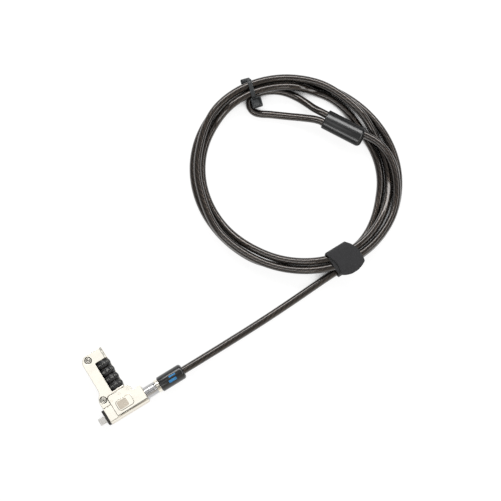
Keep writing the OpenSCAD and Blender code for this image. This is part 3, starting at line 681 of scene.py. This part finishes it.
def cable_route():
    """The cable's middle line from the crimped bush to its end in the sleeve, in metres."""
    side = Vector((math.sin(SLEEVE_HEADING), -math.cos(SLEEVE_HEADING), 0))
    enter = SLEEVE_LOW_END + STRAND_PITCH / 2 * side
    leave = enter + SLEEVE_LENGTH * SLEEVE_AXIS
    back = SLEEVE_LOW_END - STRAND_PITCH / 2 * side + SLEEVE_LENGTH * SLEEVE_AXIS
    begin = coil_point(0) - CABLE_D * coil_heading(0)
    ferrule_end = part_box("ferrule_cover")[1].x / MM
    start = Vector(CABLE_START)
    route = [start]
    route += [Vector((x, start.y, start.z)) for x in (ferrule_end, ferrule_end + CABLE_D)]
    route += [Vector(p) for p in LEAD_POINTS] + [begin - CABLE_D * coil_heading(0), begin]
    route += [coil_point(w) for w in range(0, COIL_LEAVE - COIL_STEP, COIL_STEP)]
    last = coil_point(COIL_LEAVE)
    target = enter - CABLE_D * SLEEVE_AXIS
    pull = (target - last).length
    from_coil, to_sleeve = pull * coil_heading(COIL_LEAVE), pull * SLEEVE_AXIS
    route += [hermite(last, from_coil, target, to_sleeve, i / LEAVE_STEPS)
              for i in range(LEAVE_STEPS + 1)]
    route += [enter, leave, leave + CABLE_D * SLEEVE_AXIS] + [Vector(p) for p in EYE_POINTS]
    route += [back + along * SLEEVE_AXIS
              for along in (CABLE_D / 2, 0, SLEEVE_END_SHORT - SLEEVE_LENGTH)]
    return [MM * p for p in route]


# Operators, one for each piece or group of like pieces

class LOCK_OT_stage(bpy.types.Operator):
    """Camera at the photograph's angle, pale floor, soft world, strip lamps and cards"""
    bl_idname = "cable_lock.stage"
    bl_label = "Stage"

    def execute(self, context):
        scene = context.scene
        scene.view_settings.view_transform = "Standard"
        target = MM * Vector(CAMERA_TARGET)
        turn, rise = math.radians(CAMERA_AZIMUTH), math.radians(CAMERA_ELEVATION)
        away = Vector((
            math.cos(rise) * math.cos(turn), math.cos(rise) * math.sin(turn), math.sin(rise)))
        bpy.ops.object.camera_add(location=target + CAMERA_DISTANCE * MM * away)
        camera = context.object
        camera.name = "photo_camera"
        roll = Matrix.Rotation(math.radians(CAMERA_ROLL), 3, "Z")
        camera.rotation_euler = ((-away).to_track_quat("-Z", "Y").to_matrix() @ roll).to_euler()
        camera.data.sensor_fit = "HORIZONTAL"
        camera.data.angle = math.radians(CAMERA_VIEW)
        scene.camera = camera

        floor_size, floor_drop = 30, 0.05 * MM
        floor = added("floor", bpy.ops.mesh.primitive_plane_add, size=floor_size,
                      location=(target.x, target.y, -floor_drop))
        floor.data.materials.append(self.floor_finish())
        self.sky(scene)

        # Strip lamps beyond the top, the right and the near left of the picture: their long
        # reflections give the cable its thin lines
        ahead = Vector((-away.x, -away.y, 0)).normalized()
        right = Vector((-away.y, away.x, 0)).normalized()
        for name, way, far, high, size, level in (
                ("top_strip", ahead, 1, 1.05, (2, 0.45), 7),
                ("right_strip", right, 1.05, 1.05, (1.7, 0.3), 4),
                ("near_strip", -0.91 * ahead - 0.42 * right, 0.8, 1.1, (1.2, 0.3), 4)):
            spot = target + far * way + Vector((0, 0, high))
            aim = (target - spot).to_track_quat("-Z", "Y").to_euler()
            self.lamp(name, spot, aim, size, level)

        # A white card over the head, where the camera sees the flat plated faces mirror it
        self.lamp("head_card", (-0.035, 0.165, 1.4), (0, 0, 0), (0.42, 0.34), 0.95)
        # A dim warm card before the head gives its rounded front edge a beige strip
        upright = (math.radians(75), 0, 0)
        self.lamp("front_card", (0, -1.1, 0.62), upright, (1.6, 1), 0.42, (1, 0.91, 0.78))
        return {"FINISHED"}

    def lamp(self, name, spot, aim, size, level, tint=(1, 1, 1)):
        """A rectangular lamp whose face shows at a level of brightness, where 1 is white."""
        bpy.ops.object.light_add(type="AREA", location=spot, rotation=aim)
        lamp = bpy.context.object
        lamp.name = name
        lamp.data.shape = "RECTANGLE"
        lamp.data.color = tint
        lamp.data.size, lamp.data.size_y = size
        lamp.data.energy = level * math.pi * size[0] * size[1]

    def floor_finish(self):
        # Matt white laminate: white to the camera and in reflections, with part of its light kept
        # for shadows
        name = "matt_white_laminate"
        tree = blank(name)
        rays = add_node(tree, "ShaderNodeLightPath")
        seen = rays.outputs["Is Camera Ray"]
        for ray in ("Is Glossy Ray", "Is Transmission Ray"):
            both = {0: seen, 1: rays.outputs[ray]}
            seen = add_node(tree, "ShaderNodeMath", both, operation="MAXIMUM").outputs[0]
        share = add_node(tree, "ShaderNodeMath", {0: seen, 1: 0.8}, operation="MULTIPLY")
        lit = add_node(tree, "ShaderNodeBsdfDiffuse", {"Color": full(tints().floor)})
        # Narrow gaps between strands get no light
        gap = 14 * MM
        open_sky = add_node(tree, "ShaderNodeAmbientOcclusion", {"Distance": gap}, samples=12)
        light = add_node(tree, "ShaderNodeMapRange", {
            "Value": open_sky.outputs["AO"], "From Min": 0.18, "From Max": 0.36,
            "To Min": 0, "To Max": 1.1})
        white = add_node(tree, "ShaderNodeEmission", {
            "Color": (1, 1, 1, 1), "Strength": light.outputs[0]})
        mixed = add_node(tree, "ShaderNodeMixShader", {
            0: share.outputs[0], 1: lit.outputs[0], 2: white.outputs[0]})
        add_node(tree, "ShaderNodeOutputMaterial", {"Surface": mixed.outputs[0]})
        return bpy.data.materials[name]

    def sky(self, scene):
        # A dim ceiling over a white horizon that is darker to the right: plated edges and the vinyl
        # mirror both
        world = bpy.data.worlds.new("studio")
        scene.world = world
        world.use_nodes = True
        tree = world.node_tree
        tree.nodes.clear()
        place = add_node(tree, "ShaderNodeTexCoord")
        parts = add_node(tree, "ShaderNodeSeparateXYZ", {0: place.outputs["Generated"]})
        ramp = add_node(tree, "ShaderNodeValToRGB", {"Fac": parts.outputs["Z"]})
        stops = ((0, 0.95), (0.15, 0.85), (0.3, 0.2), (0.75, 0.18), (0.92, 0.32), (1, 0.36))
        for i, (at, level) in enumerate(stops):
            stop = ramp.color_ramp.elements[i] if i < 2 else ramp.color_ramp.elements.new(at)
            stop.position, stop.color = at, (level, 0.99 * level, 0.97 * level, 1)
        side = add_node(tree, "ShaderNodeMapRange", {
            "Value": parts.outputs["X"], "From Min": 0.15, "From Max": 0.7,
            "To Min": 1, "To Max": 0.3})
        lit = add_node(tree, "ShaderNodeBackground", {
            "Color": ramp.outputs[0], "Strength": side.outputs[0]})
        add_node(tree, "ShaderNodeOutputWorld", {"Surface": lit.outputs[0]})


class LOCK_OT_cable(bpy.types.Operator):
    """The vinyl-covered cable: lead, coil and eye as one strand"""
    bl_idname = "cable_lock.cable"
    bl_label = "Cable"

    def execute(self, context):
        sizes = context.scene.lock_sizes
        route = cable_route()
        cable = added("cable", bpy.ops.curve.primitive_bezier_curve_add)
        spline = cable.data.splines[0]
        spline.bezier_points.add(len(route) - len(spline.bezier_points))
        for point, place in zip(spline.bezier_points, route):
            point.co = place
            point.handle_left_type = point.handle_right_type = "AUTO"
        steps, rounds = 4, 8
        cable.data.resolution_u = steps
        cable.data.bevel_depth = sizes.cable_d / 2
        cable.data.bevel_resolution = rounds
        cable.data.use_fill_caps = True
        cable.data.twist_mode = "MINIMUM"
        pick(cable)
        bpy.ops.object.convert(target="MESH")

        # The mesh lists the two end caps first, then its rings; each ring's middle is on the path,
        # and its number of sides follows from the roundness
        sides = 4 + 2 * rounds
        places = [v.co.copy() for v in cable.data.vertices][2 * sides:]
        path = [sum(places[i:i + sides], Vector()) / sides for i in range(0, len(places), sides)]
        along = [0]
        for a, b in zip(path, path[1:]):
            along.append(along[-1] + (b - a).length)
        run = along[-1]

        # Its map counts rings, so each ring is put at its own share of the length
        for corner in cable.data.uv_layers[0].data:
            corner.uv.x = along[round(corner.uv.x * (len(path) - 1))] / run
        mend(cable, MERGE)
        soften(cable, 60)
        nodes = ("cable_lead", "cable_coil", "cable_eye")
        hand_over(cable, "cable", "cable_vinyl", nodes, cable_vinyl(run))
        return {"FINISHED"}


class LOCK_OT_eye_sleeve(bpy.types.Operator):
    """The doubled sleeve that closes the eye, with rounded ends"""
    bl_idname = "cable_lock.eye_sleeve"
    bl_label = "Eye sleeve"

    def execute(self, context):
        sizes = context.scene.lock_sizes
        low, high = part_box("loop_sleeve_cover")
        # A little proud of the doubled crimp inside it, which it encloses all round
        proud, fullness = 0.5 * MM, 1.75
        radius, run = (high.z - low.z) / 2 + proud, SLEEVE_LENGTH * MM
        half = STRAND_PITCH / 2 * MM
        sleeve = added("eye_sleeve", bpy.ops.mesh.primitive_cylinder_add,
                       vertices=96, radius=radius, depth=run)
        # One flattened barrel round both strands
        for vertex in sleeve.data.vertices:
            across, up = vertex.co.x / radius, vertex.co.y / radius
            vertex.co.x = math.copysign((half + radius) * abs(across) ** (2 / fullness), across)
            vertex.co.y = math.copysign(radius * abs(up) ** (2 / fullness), up)
        round_rim(sleeve, 2, -run / 2, sizes.sleeve_round, 6)
        round_rim(sleeve, 2, run / 2, sizes.sleeve_mouth, 6)
        lying = Matrix.Rotation(math.pi / 2, 4, "X")
        turn = Matrix.Rotation(SLEEVE_HEADING + math.pi / 2, 4, "Z") @ lying
        middle = MM * (SLEEVE_LOW_END + SLEEVE_LENGTH / 2 * SLEEVE_AXIS)
        sleeve.matrix_world = Matrix.Translation(middle) @ turn
        settle(sleeve)
        soften(sleeve, 40)
        hand_over(sleeve, "cable", "cover_plastic", ("loop_sleeve_cover",), glossy_vinyl())
        return {"FINISHED"}


class LOCK_OT_strap(bpy.types.Operator):
    """The hook-and-loop strap, wrapped once round the bundle with its tongue over the outer side"""
    bl_idname = "cable_lock.strap"
    bl_label = "Strap"

    def execute(self, context):
        sizes = context.scene.lock_sizes
        low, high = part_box("bundle_strap")
        # The wrap from its hidden end to its tongue: across the bundle, up, and the bend's size
        tongue_out, hidden_end, crown = 3.5, 13, 9
        ring_low, ring_high = low.y / MM + tongue_out, high.y / MM
        inside, under, over = 0.9, 0.9, 14.6
        tight, wide, loose = 3.2, 4, 3
        corners = (
            (hidden_end, over, 0), (ring_low + inside, over, tight),
            (ring_low + inside, under, tight), (ring_high - inside, under, tight),
            (ring_high - inside, over + 1, wide), (crown, over + 1.35, loose),
            (ring_low + 2.2, over + 1.3, loose), (low.y / MM, over - 0.6, 0),
        )
        row_step = 0.8
        flat = evenly(filleted(corners), row_step)
        run = sum((b - a).length for a, b in zip(flat, flat[1:]))
        middle_x = (low.x + high.x) / 2
        step = run / (len(flat) - 1)
        # The upper layer bows towards the coil's right and ends in a round tongue
        upper, tongue_r, tongue_run, blunt = 22, 16.5, 4, 0.12
        bow_start, bow_out, bow_back = -0.8, 3, 1.2
        narrow, widening = 0.92, 0.06
        # Its right corner is rounded where it folds over the coil's inner side
        tuck_depth, tuck_ramp = 1.8, (upper - 4, upper + 1, 2 * upper, 2 * upper + 8)
        middle, halves = [], []
        for i, p in enumerate(flat):
            left = run - i * step
            share = max(0, 1 - left / upper)
            bow = bow_start + bow_out * smooth(share, 0, 0.5) - bow_back * smooth(share, 0.55, 1)
            tuck = ramped(left, tuck_depth, tuck_ramp)
            middle.append(Vector((middle_x + MM * (bow - tuck / 2), MM * p.x, MM * p.y)))
            width_share = narrow + widening * smooth(share, 0.2, 1)
            half = sizes.strap_w / 2 * width_share - MM * tuck / 2
            tip = max(left, blunt)
            if tip < tongue_run:
                half = min(half, MM * math.sqrt(2 * tongue_r * tip - tip ** 2))
            halves.append(half)
        strap = ribbon("bundle_strap_cloth", middle, Vector((1, 0, 0)), halves, 14)
        thicken(strap, sizes.strap_t, 0)
        modify(strap, "SUBSURF", levels=1, render_levels=1)
        soften(strap, 60)
        weave = strap_weave(sizes.strap_w, run * MM)
        hand_over(strap, "cable", "strap_fabric", ("bundle_strap",), weave)
        return {"FINISHED"}


class LOCK_OT_tie(bpy.types.Operator):
    """The cable tie: band, ratchet head and cut tail"""
    bl_idname = "cable_lock.tie"
    bl_label = "Cable tie"

    def execute(self, context):
        strands, room, slack, height = 11.55, 3.3, 0.7, 11.9
        thick, corner, slant, row_step = 1.1, 3.2, 12, 0.6
        half, top = strands / 2 + slack, height + 1.5 * thick
        low = (strands + room) / 2 + thick / 2

        # The band, from under the head over the strands and back below them
        corners = (
            (-low, 6, 0), (-half, top, corner), (half, top, corner), (half, thick / 2, corner),
            (-low, thick / 2, corner), (-low, 7, 0),
        )
        line = [Vector((MM * p.x, 0, MM * p.y)) for p in evenly(filleted(corners), row_step)]
        halves = [context.scene.lock_sizes.tie_w / 2] * len(line)
        band = ribbon("tie_band", line, Vector((0, 1, 0)), halves, 4)
        thicken(band, thick * MM, 0)
        round_edges(band, 0.2 * MM, 2)

        # The head, hollowed where the band runs through it
        wall, hollow = 1.2 * MM, 1.6 * MM
        head = block("tie_head", (7.2, 7.4, 4.6), (-half - 3.9, -1.2, 9.3))
        edit(head, "FACE", lambda middle, normal: normal.z > FACING)
        bpy.ops.mesh.inset(thickness=wall)
        push(0, 0, -hollow)
        done()
        round_edges(head, 0.7 * MM, 3)

        tail = block("tie_tail", (3.3, 7, 4), (half + 0.9, 2.4, top / 2))
        round_edges(tail, 0.9 * MM, 4)

        # All three sit round the middle of the bundle, at a slant
        turns = [coil_point(wound + TIE_ANGLE - COIL_START) for wound in (360, 720)]
        middle = (turns[0] + turns[1]) / 2
        turn = Matrix.Rotation(math.radians(TIE_ANGLE - slant), 4, "Z")
        place = Matrix.Translation((middle.x * MM, middle.y * MM, 0)) @ turn
        for piece, soft, nodes in ((band, 45, ("bundle_tie",)), (head, 40, ()), (tail, 40, ())):
            piece.matrix_world = place
            settle(piece)
            soften(piece, soft)
            hand_over(piece, "cable", "tie_nylon", nodes, tie_nylon())
        return {"FINISHED"}


class LOCK_OT_head(bpy.types.Operator):
    """The plated head: body, arm cover, back plate, button and three engraved rings"""
    bl_idname = "cable_lock.head"
    bl_label = "Head"

    def execute(self, context):
        sizes = context.scene.lock_sizes
        screws = screw_places()
        finishes = (satin_nickel(), edge_shaded_nickel(), blast_shade_nickel(), recess_shade_steel())
        for node, body, radius in (
                ("housing", "lock_head", sizes.cast_round),
                ("arm_cover", "lock_head", sizes.cast_round),
                ("rear_plate", "lock_head", sizes.fine_round),
                ("release_button", "button", sizes.cast_round)):
            # The cover's top is cut through the middle of both counterbores
            cuts = [(middle, (0, 1, 0)) for middle, _ in screws] if node == "arm_cover" else ()
            piece = rounded_copy(
                node, node + "_shell", radius, clamp=node == "release_button", cuts=cuts)
            hand_over(piece, body, "satin_nickel", (node,), *finishes)

        # The floor of the thumb recess takes the matt blast finish, whose darker tint is painted
        # shade in the recess
        top, shallow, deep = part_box("release_button")[1].z, 0.45 * MM, 0.75 * MM
        for face in bpy.data.objects["release_button_shell"].data.polygons:
            if face.normal.z > FACING and shallow < top - face.center.z < deep:
                face.material_index = BLAST_SHADE

        # The sides of the casting take the matt blast finish, whose darker tint paints the shade of
        # the floor that they mirror; only its top is smooth
        upright = 0.3
        for face in bpy.data.objects["housing_shell"].data.polygons:
            if abs(face.normal.z) < upright and face.material_index == PLAIN:
                face.material_index = BLAST_SHADE

        # Painted shade darkens the counterbores round the screws
        inside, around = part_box("arm_cover")[1].z - 0.3 * MM, 1.3
        for face in bpy.data.objects["arm_cover_shell"].data.polygons:
            near = any((face.center - middle).xy.length < around * radius
                       for middle, radius in screws)
            if near and face.center.z < inside:
                face.material_index = SHADED_RECESS

        # Three plain rings engraved beside the button, one for each state of the lock, in the
        # darker matt finish as painted shade in the engraved line
        ring_r, line_r, sunk = 0.75 * MM, 0.1 * MM, 0.06 * MM
        for i, (x, y) in enumerate(((-8, 7.4), (-1, 9.2), (5.6, 9))):
            ring = added(f"state_mark_{i + 1}", bpy.ops.mesh.primitive_torus_add,
                         major_segments=24, minor_segments=6,
                         major_radius=ring_r, minor_radius=line_r,
                         location=(MM * x, MM * y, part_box("housing")[1].z - sunk))
            settle(ring)
            soften(ring)
            hand_over(ring, "lock_head", "satin_nickel", (), blast_shade_nickel())
        return {"FINISHED"}


class LOCK_OT_fittings(bpy.types.Operator):
    """Screws, pad, tip, pin, swivel barrel and collar with their edges broken"""
    bl_idname = "cable_lock.fittings"
    bl_label = "Fittings"

    def execute(self, context):
        fine = context.scene.lock_sizes.fine_round
        tip_middle = sum(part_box("lock_tip"), Vector()) / 2
        for node, body, slot, radius, finish in (
                ("lock_tip", "lock_head", "bright_chrome", 2 * fine, milled_steel()),
                ("locking_pin", "pin", "bright_chrome", 2 * fine, milled_steel()),
                ("end_pad", "lock_head", "pad_rubber", 2 * fine, pad_rubber()),
                ("swivel_barrel", "cable", "bright_chrome", fine, polished_chrome()),
                ("ferrule_collar", "cable", "satin_nickel", fine, satin_nickel())):
            # The pad's face is cut through the middle of its opening, round the tip
            cuts = [(tip_middle, (0, 1, 0))] if node == "end_pad" else ()
            piece = rounded_copy(node, node + "_shell", radius, cuts=cuts)
            hand_over(piece, body, slot, (node,), finish, finish)

        # One screw at each end of the cover, in the places of the node's two solids
        low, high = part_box("cover_screws")
        groove_low, groove_high, groove_share = -0.6 * MM, -0.2 * MM, 0.75
        for name, nodes, (middle, radius) in zip(
                ("cover_screw_low", "cover_screw_high"), (("cover_screws",), ()), screw_places()):
            screw = self.screw(name, middle, radius, low.z, high.z)
            hand_over(screw, "lock_head", "bright_chrome", nodes, satin_nickel(), recess_shade_steel())
            # Painted shade darkens the groove
            for face in screw.data.polygons:
                deep = groove_low < face.center.z - high.z < groove_high
                within = (face.center - middle).xy.length < groove_share * radius
                face.material_index = int(deep and within)
        return {"FINISHED"}

    def screw(self, name, middle, radius, tip, top):
        """A tamper-proof screw: a rim, a groove and a hollow pin in its head, and a plain shank."""
        head_t, shank, clearance = 1.2 * MM, 1.2 * MM, 0.1 * MM
        rim, slot, wall = 0.28 * radius, 0.13 * radius, 0.32 * radius
        groove, pin_low = 0.45 * MM, 0.05 * MM
        screw = added(name, bpy.ops.mesh.primitive_cylinder_add,
                      vertices=48, radius=radius - clearance, depth=head_t,
                      location=middle + Vector((0, 0, top - head_t / 2)))
        settle(screw)
        edit(screw, "FACE", lambda at, normal: normal.z < -FACING)
        bpy.ops.mesh.inset(thickness=radius - shank)
        push(0, 0, tip + head_t - top)
        done()
        edit(screw, "FACE", lambda at, normal: normal.z > FACING)
        for inwards, up in ((rim, -groove), (slot, groove - pin_low), (wall, -groove)):
            bpy.ops.mesh.inset(thickness=inwards)
            push(0, 0, up)
        done()
        round_edges(screw, 0.06 * MM, 2)
        soften(screw, 40)
        modify(screw, "WEIGHTED_NORMAL", weight=100, keep_sharp=True)
        return screw


class LOCK_OT_ferrule(bpy.types.Operator):
    """The moulded ferrule cover with two plain printed bars"""
    bl_idname = "cable_lock.ferrule"
    bl_label = "Ferrule"

    def execute(self, context):
        low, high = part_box("ferrule_cover")
        radius, run = (high.z - low.z) / 2, high.x - low.x
        middle, end_round = (low + high) / 2, context.scene.lock_sizes.ferrule_round
        cover = added("ferrule_moulding", bpy.ops.mesh.primitive_cylinder_add,
                      vertices=72, radius=radius, depth=run, location=middle,
                      rotation=(0, math.pi / 2, 0))
        settle(cover)
        collar_round = 0.6 * MM
        round_rim(cover, 0, high.x, end_round, 6)
        round_rim(cover, 0, low.x, collar_round, 4)

        # A hollow round the cable, where it leaves the cover
        play, mouth_deep = 0.2, 1.5 * MM
        mouth_r = (CABLE_D / 2 + play) * MM
        edit(cover, "FACE", lambda at, normal:
             normal.x > FACING and abs(at.x - high.x) < ON_PLANE)
        bpy.ops.mesh.inset(thickness=radius - end_round - mouth_r)
        push(-mouth_deep, 0, 0)
        done()
        soften(cover, 40)
        hand_over(cover, "cable", "cover_plastic", ("ferrule_cover",), glossy_vinyl())

        # Two plain bars of ink that follow the cover's round side: from and to a place along it in
        # millimetres, and from and to an angle round it in degrees
        columns, rows = 10, 8
        ink_t, reach = 0.05 * MM, radius + 0.03 * MM
        for name, start, stop, from_turn, to_turn in (
                ("ink_bar_wide", 6.5, 12.5, -34, -14), ("ink_bar_thin", 8, 13, 2, 14)):
            def place(row, column):
                turn = math.radians(from_turn + (to_turn - from_turn) * row / rows)
                return (low.x + MM * (start + (stop - start) * column / columns),
                        middle.y + reach * math.sin(turn), middle.z + reach * math.cos(turn))
            bar = grid(name, columns, rows, place)
            thicken(bar, ink_t, -1)
            soften(bar, 40)
            hand_over(bar, "cable", "cover_plastic", (), printed_ink())
        return {"FINISHED"}


class LOCK_OT_wheels(bpy.types.Operator):
    """The four number wheels and their painted digits"""
    bl_idname = "cable_lock.wheels"
    bl_label = "Number wheels"

    def execute(self, context):
        sizes = context.scene.lock_sizes
        acetal, paint = wheel_acetal(), digit_paint()
        numbers_on = 3
        for i in WHEELS:
            node, body = f"number_wheel_{i}", f"dial_{i}"
            wheel = rounded_copy(node, f"wheel_{i}", sizes.fine_round, segments=2, sharp=40)
            hand_over(wheel, body, "wheel_plastic", (node,), acetal, acetal)
            low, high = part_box(node)
            axis = Vector((0, (low.y + high.y) / 2, WHEEL_AXIS_HEIGHT * MM))
            # Each wheel stands a few numbers on from the one before
            first = numbers_on * i
            digits = self.digits(f"wheel_{i}_digits", axis, sizes.digit_height, first)
            hand_over(digits, body, "wheel_plastic", (), paint)
        return {"FINISHED"}

    def digits(self, name, axis, height, first):
        """Ten digits wrapped round a wheel's crown, as one piece."""
        wheel_r, crown_r = 5.6 * MM, 4 * MM
        paint_t, proud = 0.05 * MM, 0.01 * MM
        count, first_turn, share_of_size = 10, 9, 0.69
        made = []
        for k in range(count):
            text = added(f"{name}_{k}", bpy.ops.object.text_add)
            text.data.body = str((k + first) % count)
            text.data.align_x, text.data.align_y = "CENTER", "CENTER"
            text.data.size = height / share_of_size
            text.data.extrude = paint_t
            text.data.resolution_u = 4
            bpy.ops.object.convert(target="MESH")
            digit = bpy.context.object
            # Cut across, so that it can follow the round of the wheel
            for cut in (-0.35, -0.2, 0, 0.2, 0.35):
                edit(digit, "FACE", everywhere)
                bpy.ops.mesh.bisect(plane_co=(0, cut * height, 0), plane_no=(0, 1, 0))
                done()
            around = math.radians(first_turn + 360 / count * k)
            for vertex in digit.data.vertices:
                x, y, z = vertex.co
                reach = wheel_r - crown_r + math.sqrt(crown_r ** 2 - x ** 2) + z + proud
                turn = around - y / wheel_r
                vertex.co = axis + Vector((reach * math.sin(turn), x, reach * math.cos(turn)))
            made.append(digit)
        bpy.ops.object.select_all(action="DESELECT")
        for digit in made:
            digit.select_set(True)
        bpy.context.view_layer.objects.active = made[0]
        bpy.ops.object.join()
        piece = named(name)
        mend(piece, MERGE, outward=True)
        return piece


class LOCK_OT_springs(bpy.types.Operator):
    """The coil springs under the button and behind the spindle"""
    bl_idname = "cable_lock.springs"
    bl_label = "Springs"

    def execute(self, context):
        for node, joint, axis, end in (
                ("button_springs", "button_push", Vector((0, 0, 1)), 0),
                ("spindle_spring", "spindle_shift", Vector((0, 1, 0)), 1)):
            coil = node_copy(node, node + "_wire")
            mend(coil, CAD_MERGE)
            soften(coil, 50)
            hand_over(coil, "lock_head", "spring_steel", (node,), hard_steel())
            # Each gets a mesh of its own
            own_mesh(coil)
        return {"FINISHED"}


class LOCK_OT_inner_finishes(bpy.types.Operator):
    """Finishes of the pieces that keep their own solids, most of them inside the head"""
    bl_idname = "cable_lock.inner_finishes"
    bl_label = "Inner finishes"

    def execute(self, context):
        for finish, nodes in (
                (hard_steel(), ("detent_spring", "retaining_ring")),
                (milled_steel(), ("spindle", "crimp_bush", "loop_crimp")),
                (turned_brass(), ("reset_screw", *(f"code_sleeve_{i}" for i in WHEELS)))):
            for node in nodes:
                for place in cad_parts[node].material_slots:
                    place.material = finish
        return {"FINISHED"}


class LOCK_PT_panel(bpy.types.Panel):
    """Lists the steps in the order in which they are run, and the sizes and colours"""
    bl_idname = "LOCK_PT_panel"
    bl_label = "Cable lock"
    bl_space_type = "VIEW_3D"
    bl_region_type = "UI"
    bl_category = "Cable lock"

    def draw(self, context):
        for step in STEPS:
            self.layout.operator(step.bl_idname)
        for group in (context.scene.lock_sizes, context.scene.lock_colours):
            for key in group.bl_rna.properties.keys():
                if key not in ("rna_type", "name"):
                    self.layout.prop(group, key)


# The sleeve comes before the cable
STEPS = (
    LOCK_OT_stage, LOCK_OT_eye_sleeve, LOCK_OT_cable, LOCK_OT_strap, LOCK_OT_tie, LOCK_OT_head,
    LOCK_OT_fittings, LOCK_OT_ferrule, LOCK_OT_wheels, LOCK_OT_springs, LOCK_OT_inner_finishes,
)
CLASSES = (LockSizes, LockColours, *STEPS, LOCK_PT_panel)


def register():
    for kind in CLASSES:
        bpy.utils.register_class(kind)
    bpy.types.Scene.lock_sizes = PointerProperty(type=LockSizes)
    bpy.types.Scene.lock_colours = PointerProperty(type=LockColours)


def unregister():
    del bpy.types.Scene.lock_colours
    del bpy.types.Scene.lock_sizes
    for kind in reversed(CLASSES):
        bpy.utils.unregister_class(kind)


def main():
    register()
    for step in STEPS:
        group, name = step.bl_idname.split(".")
        getattr(getattr(bpy.ops, group), name)()


if __name__ == "__main__":
    main()
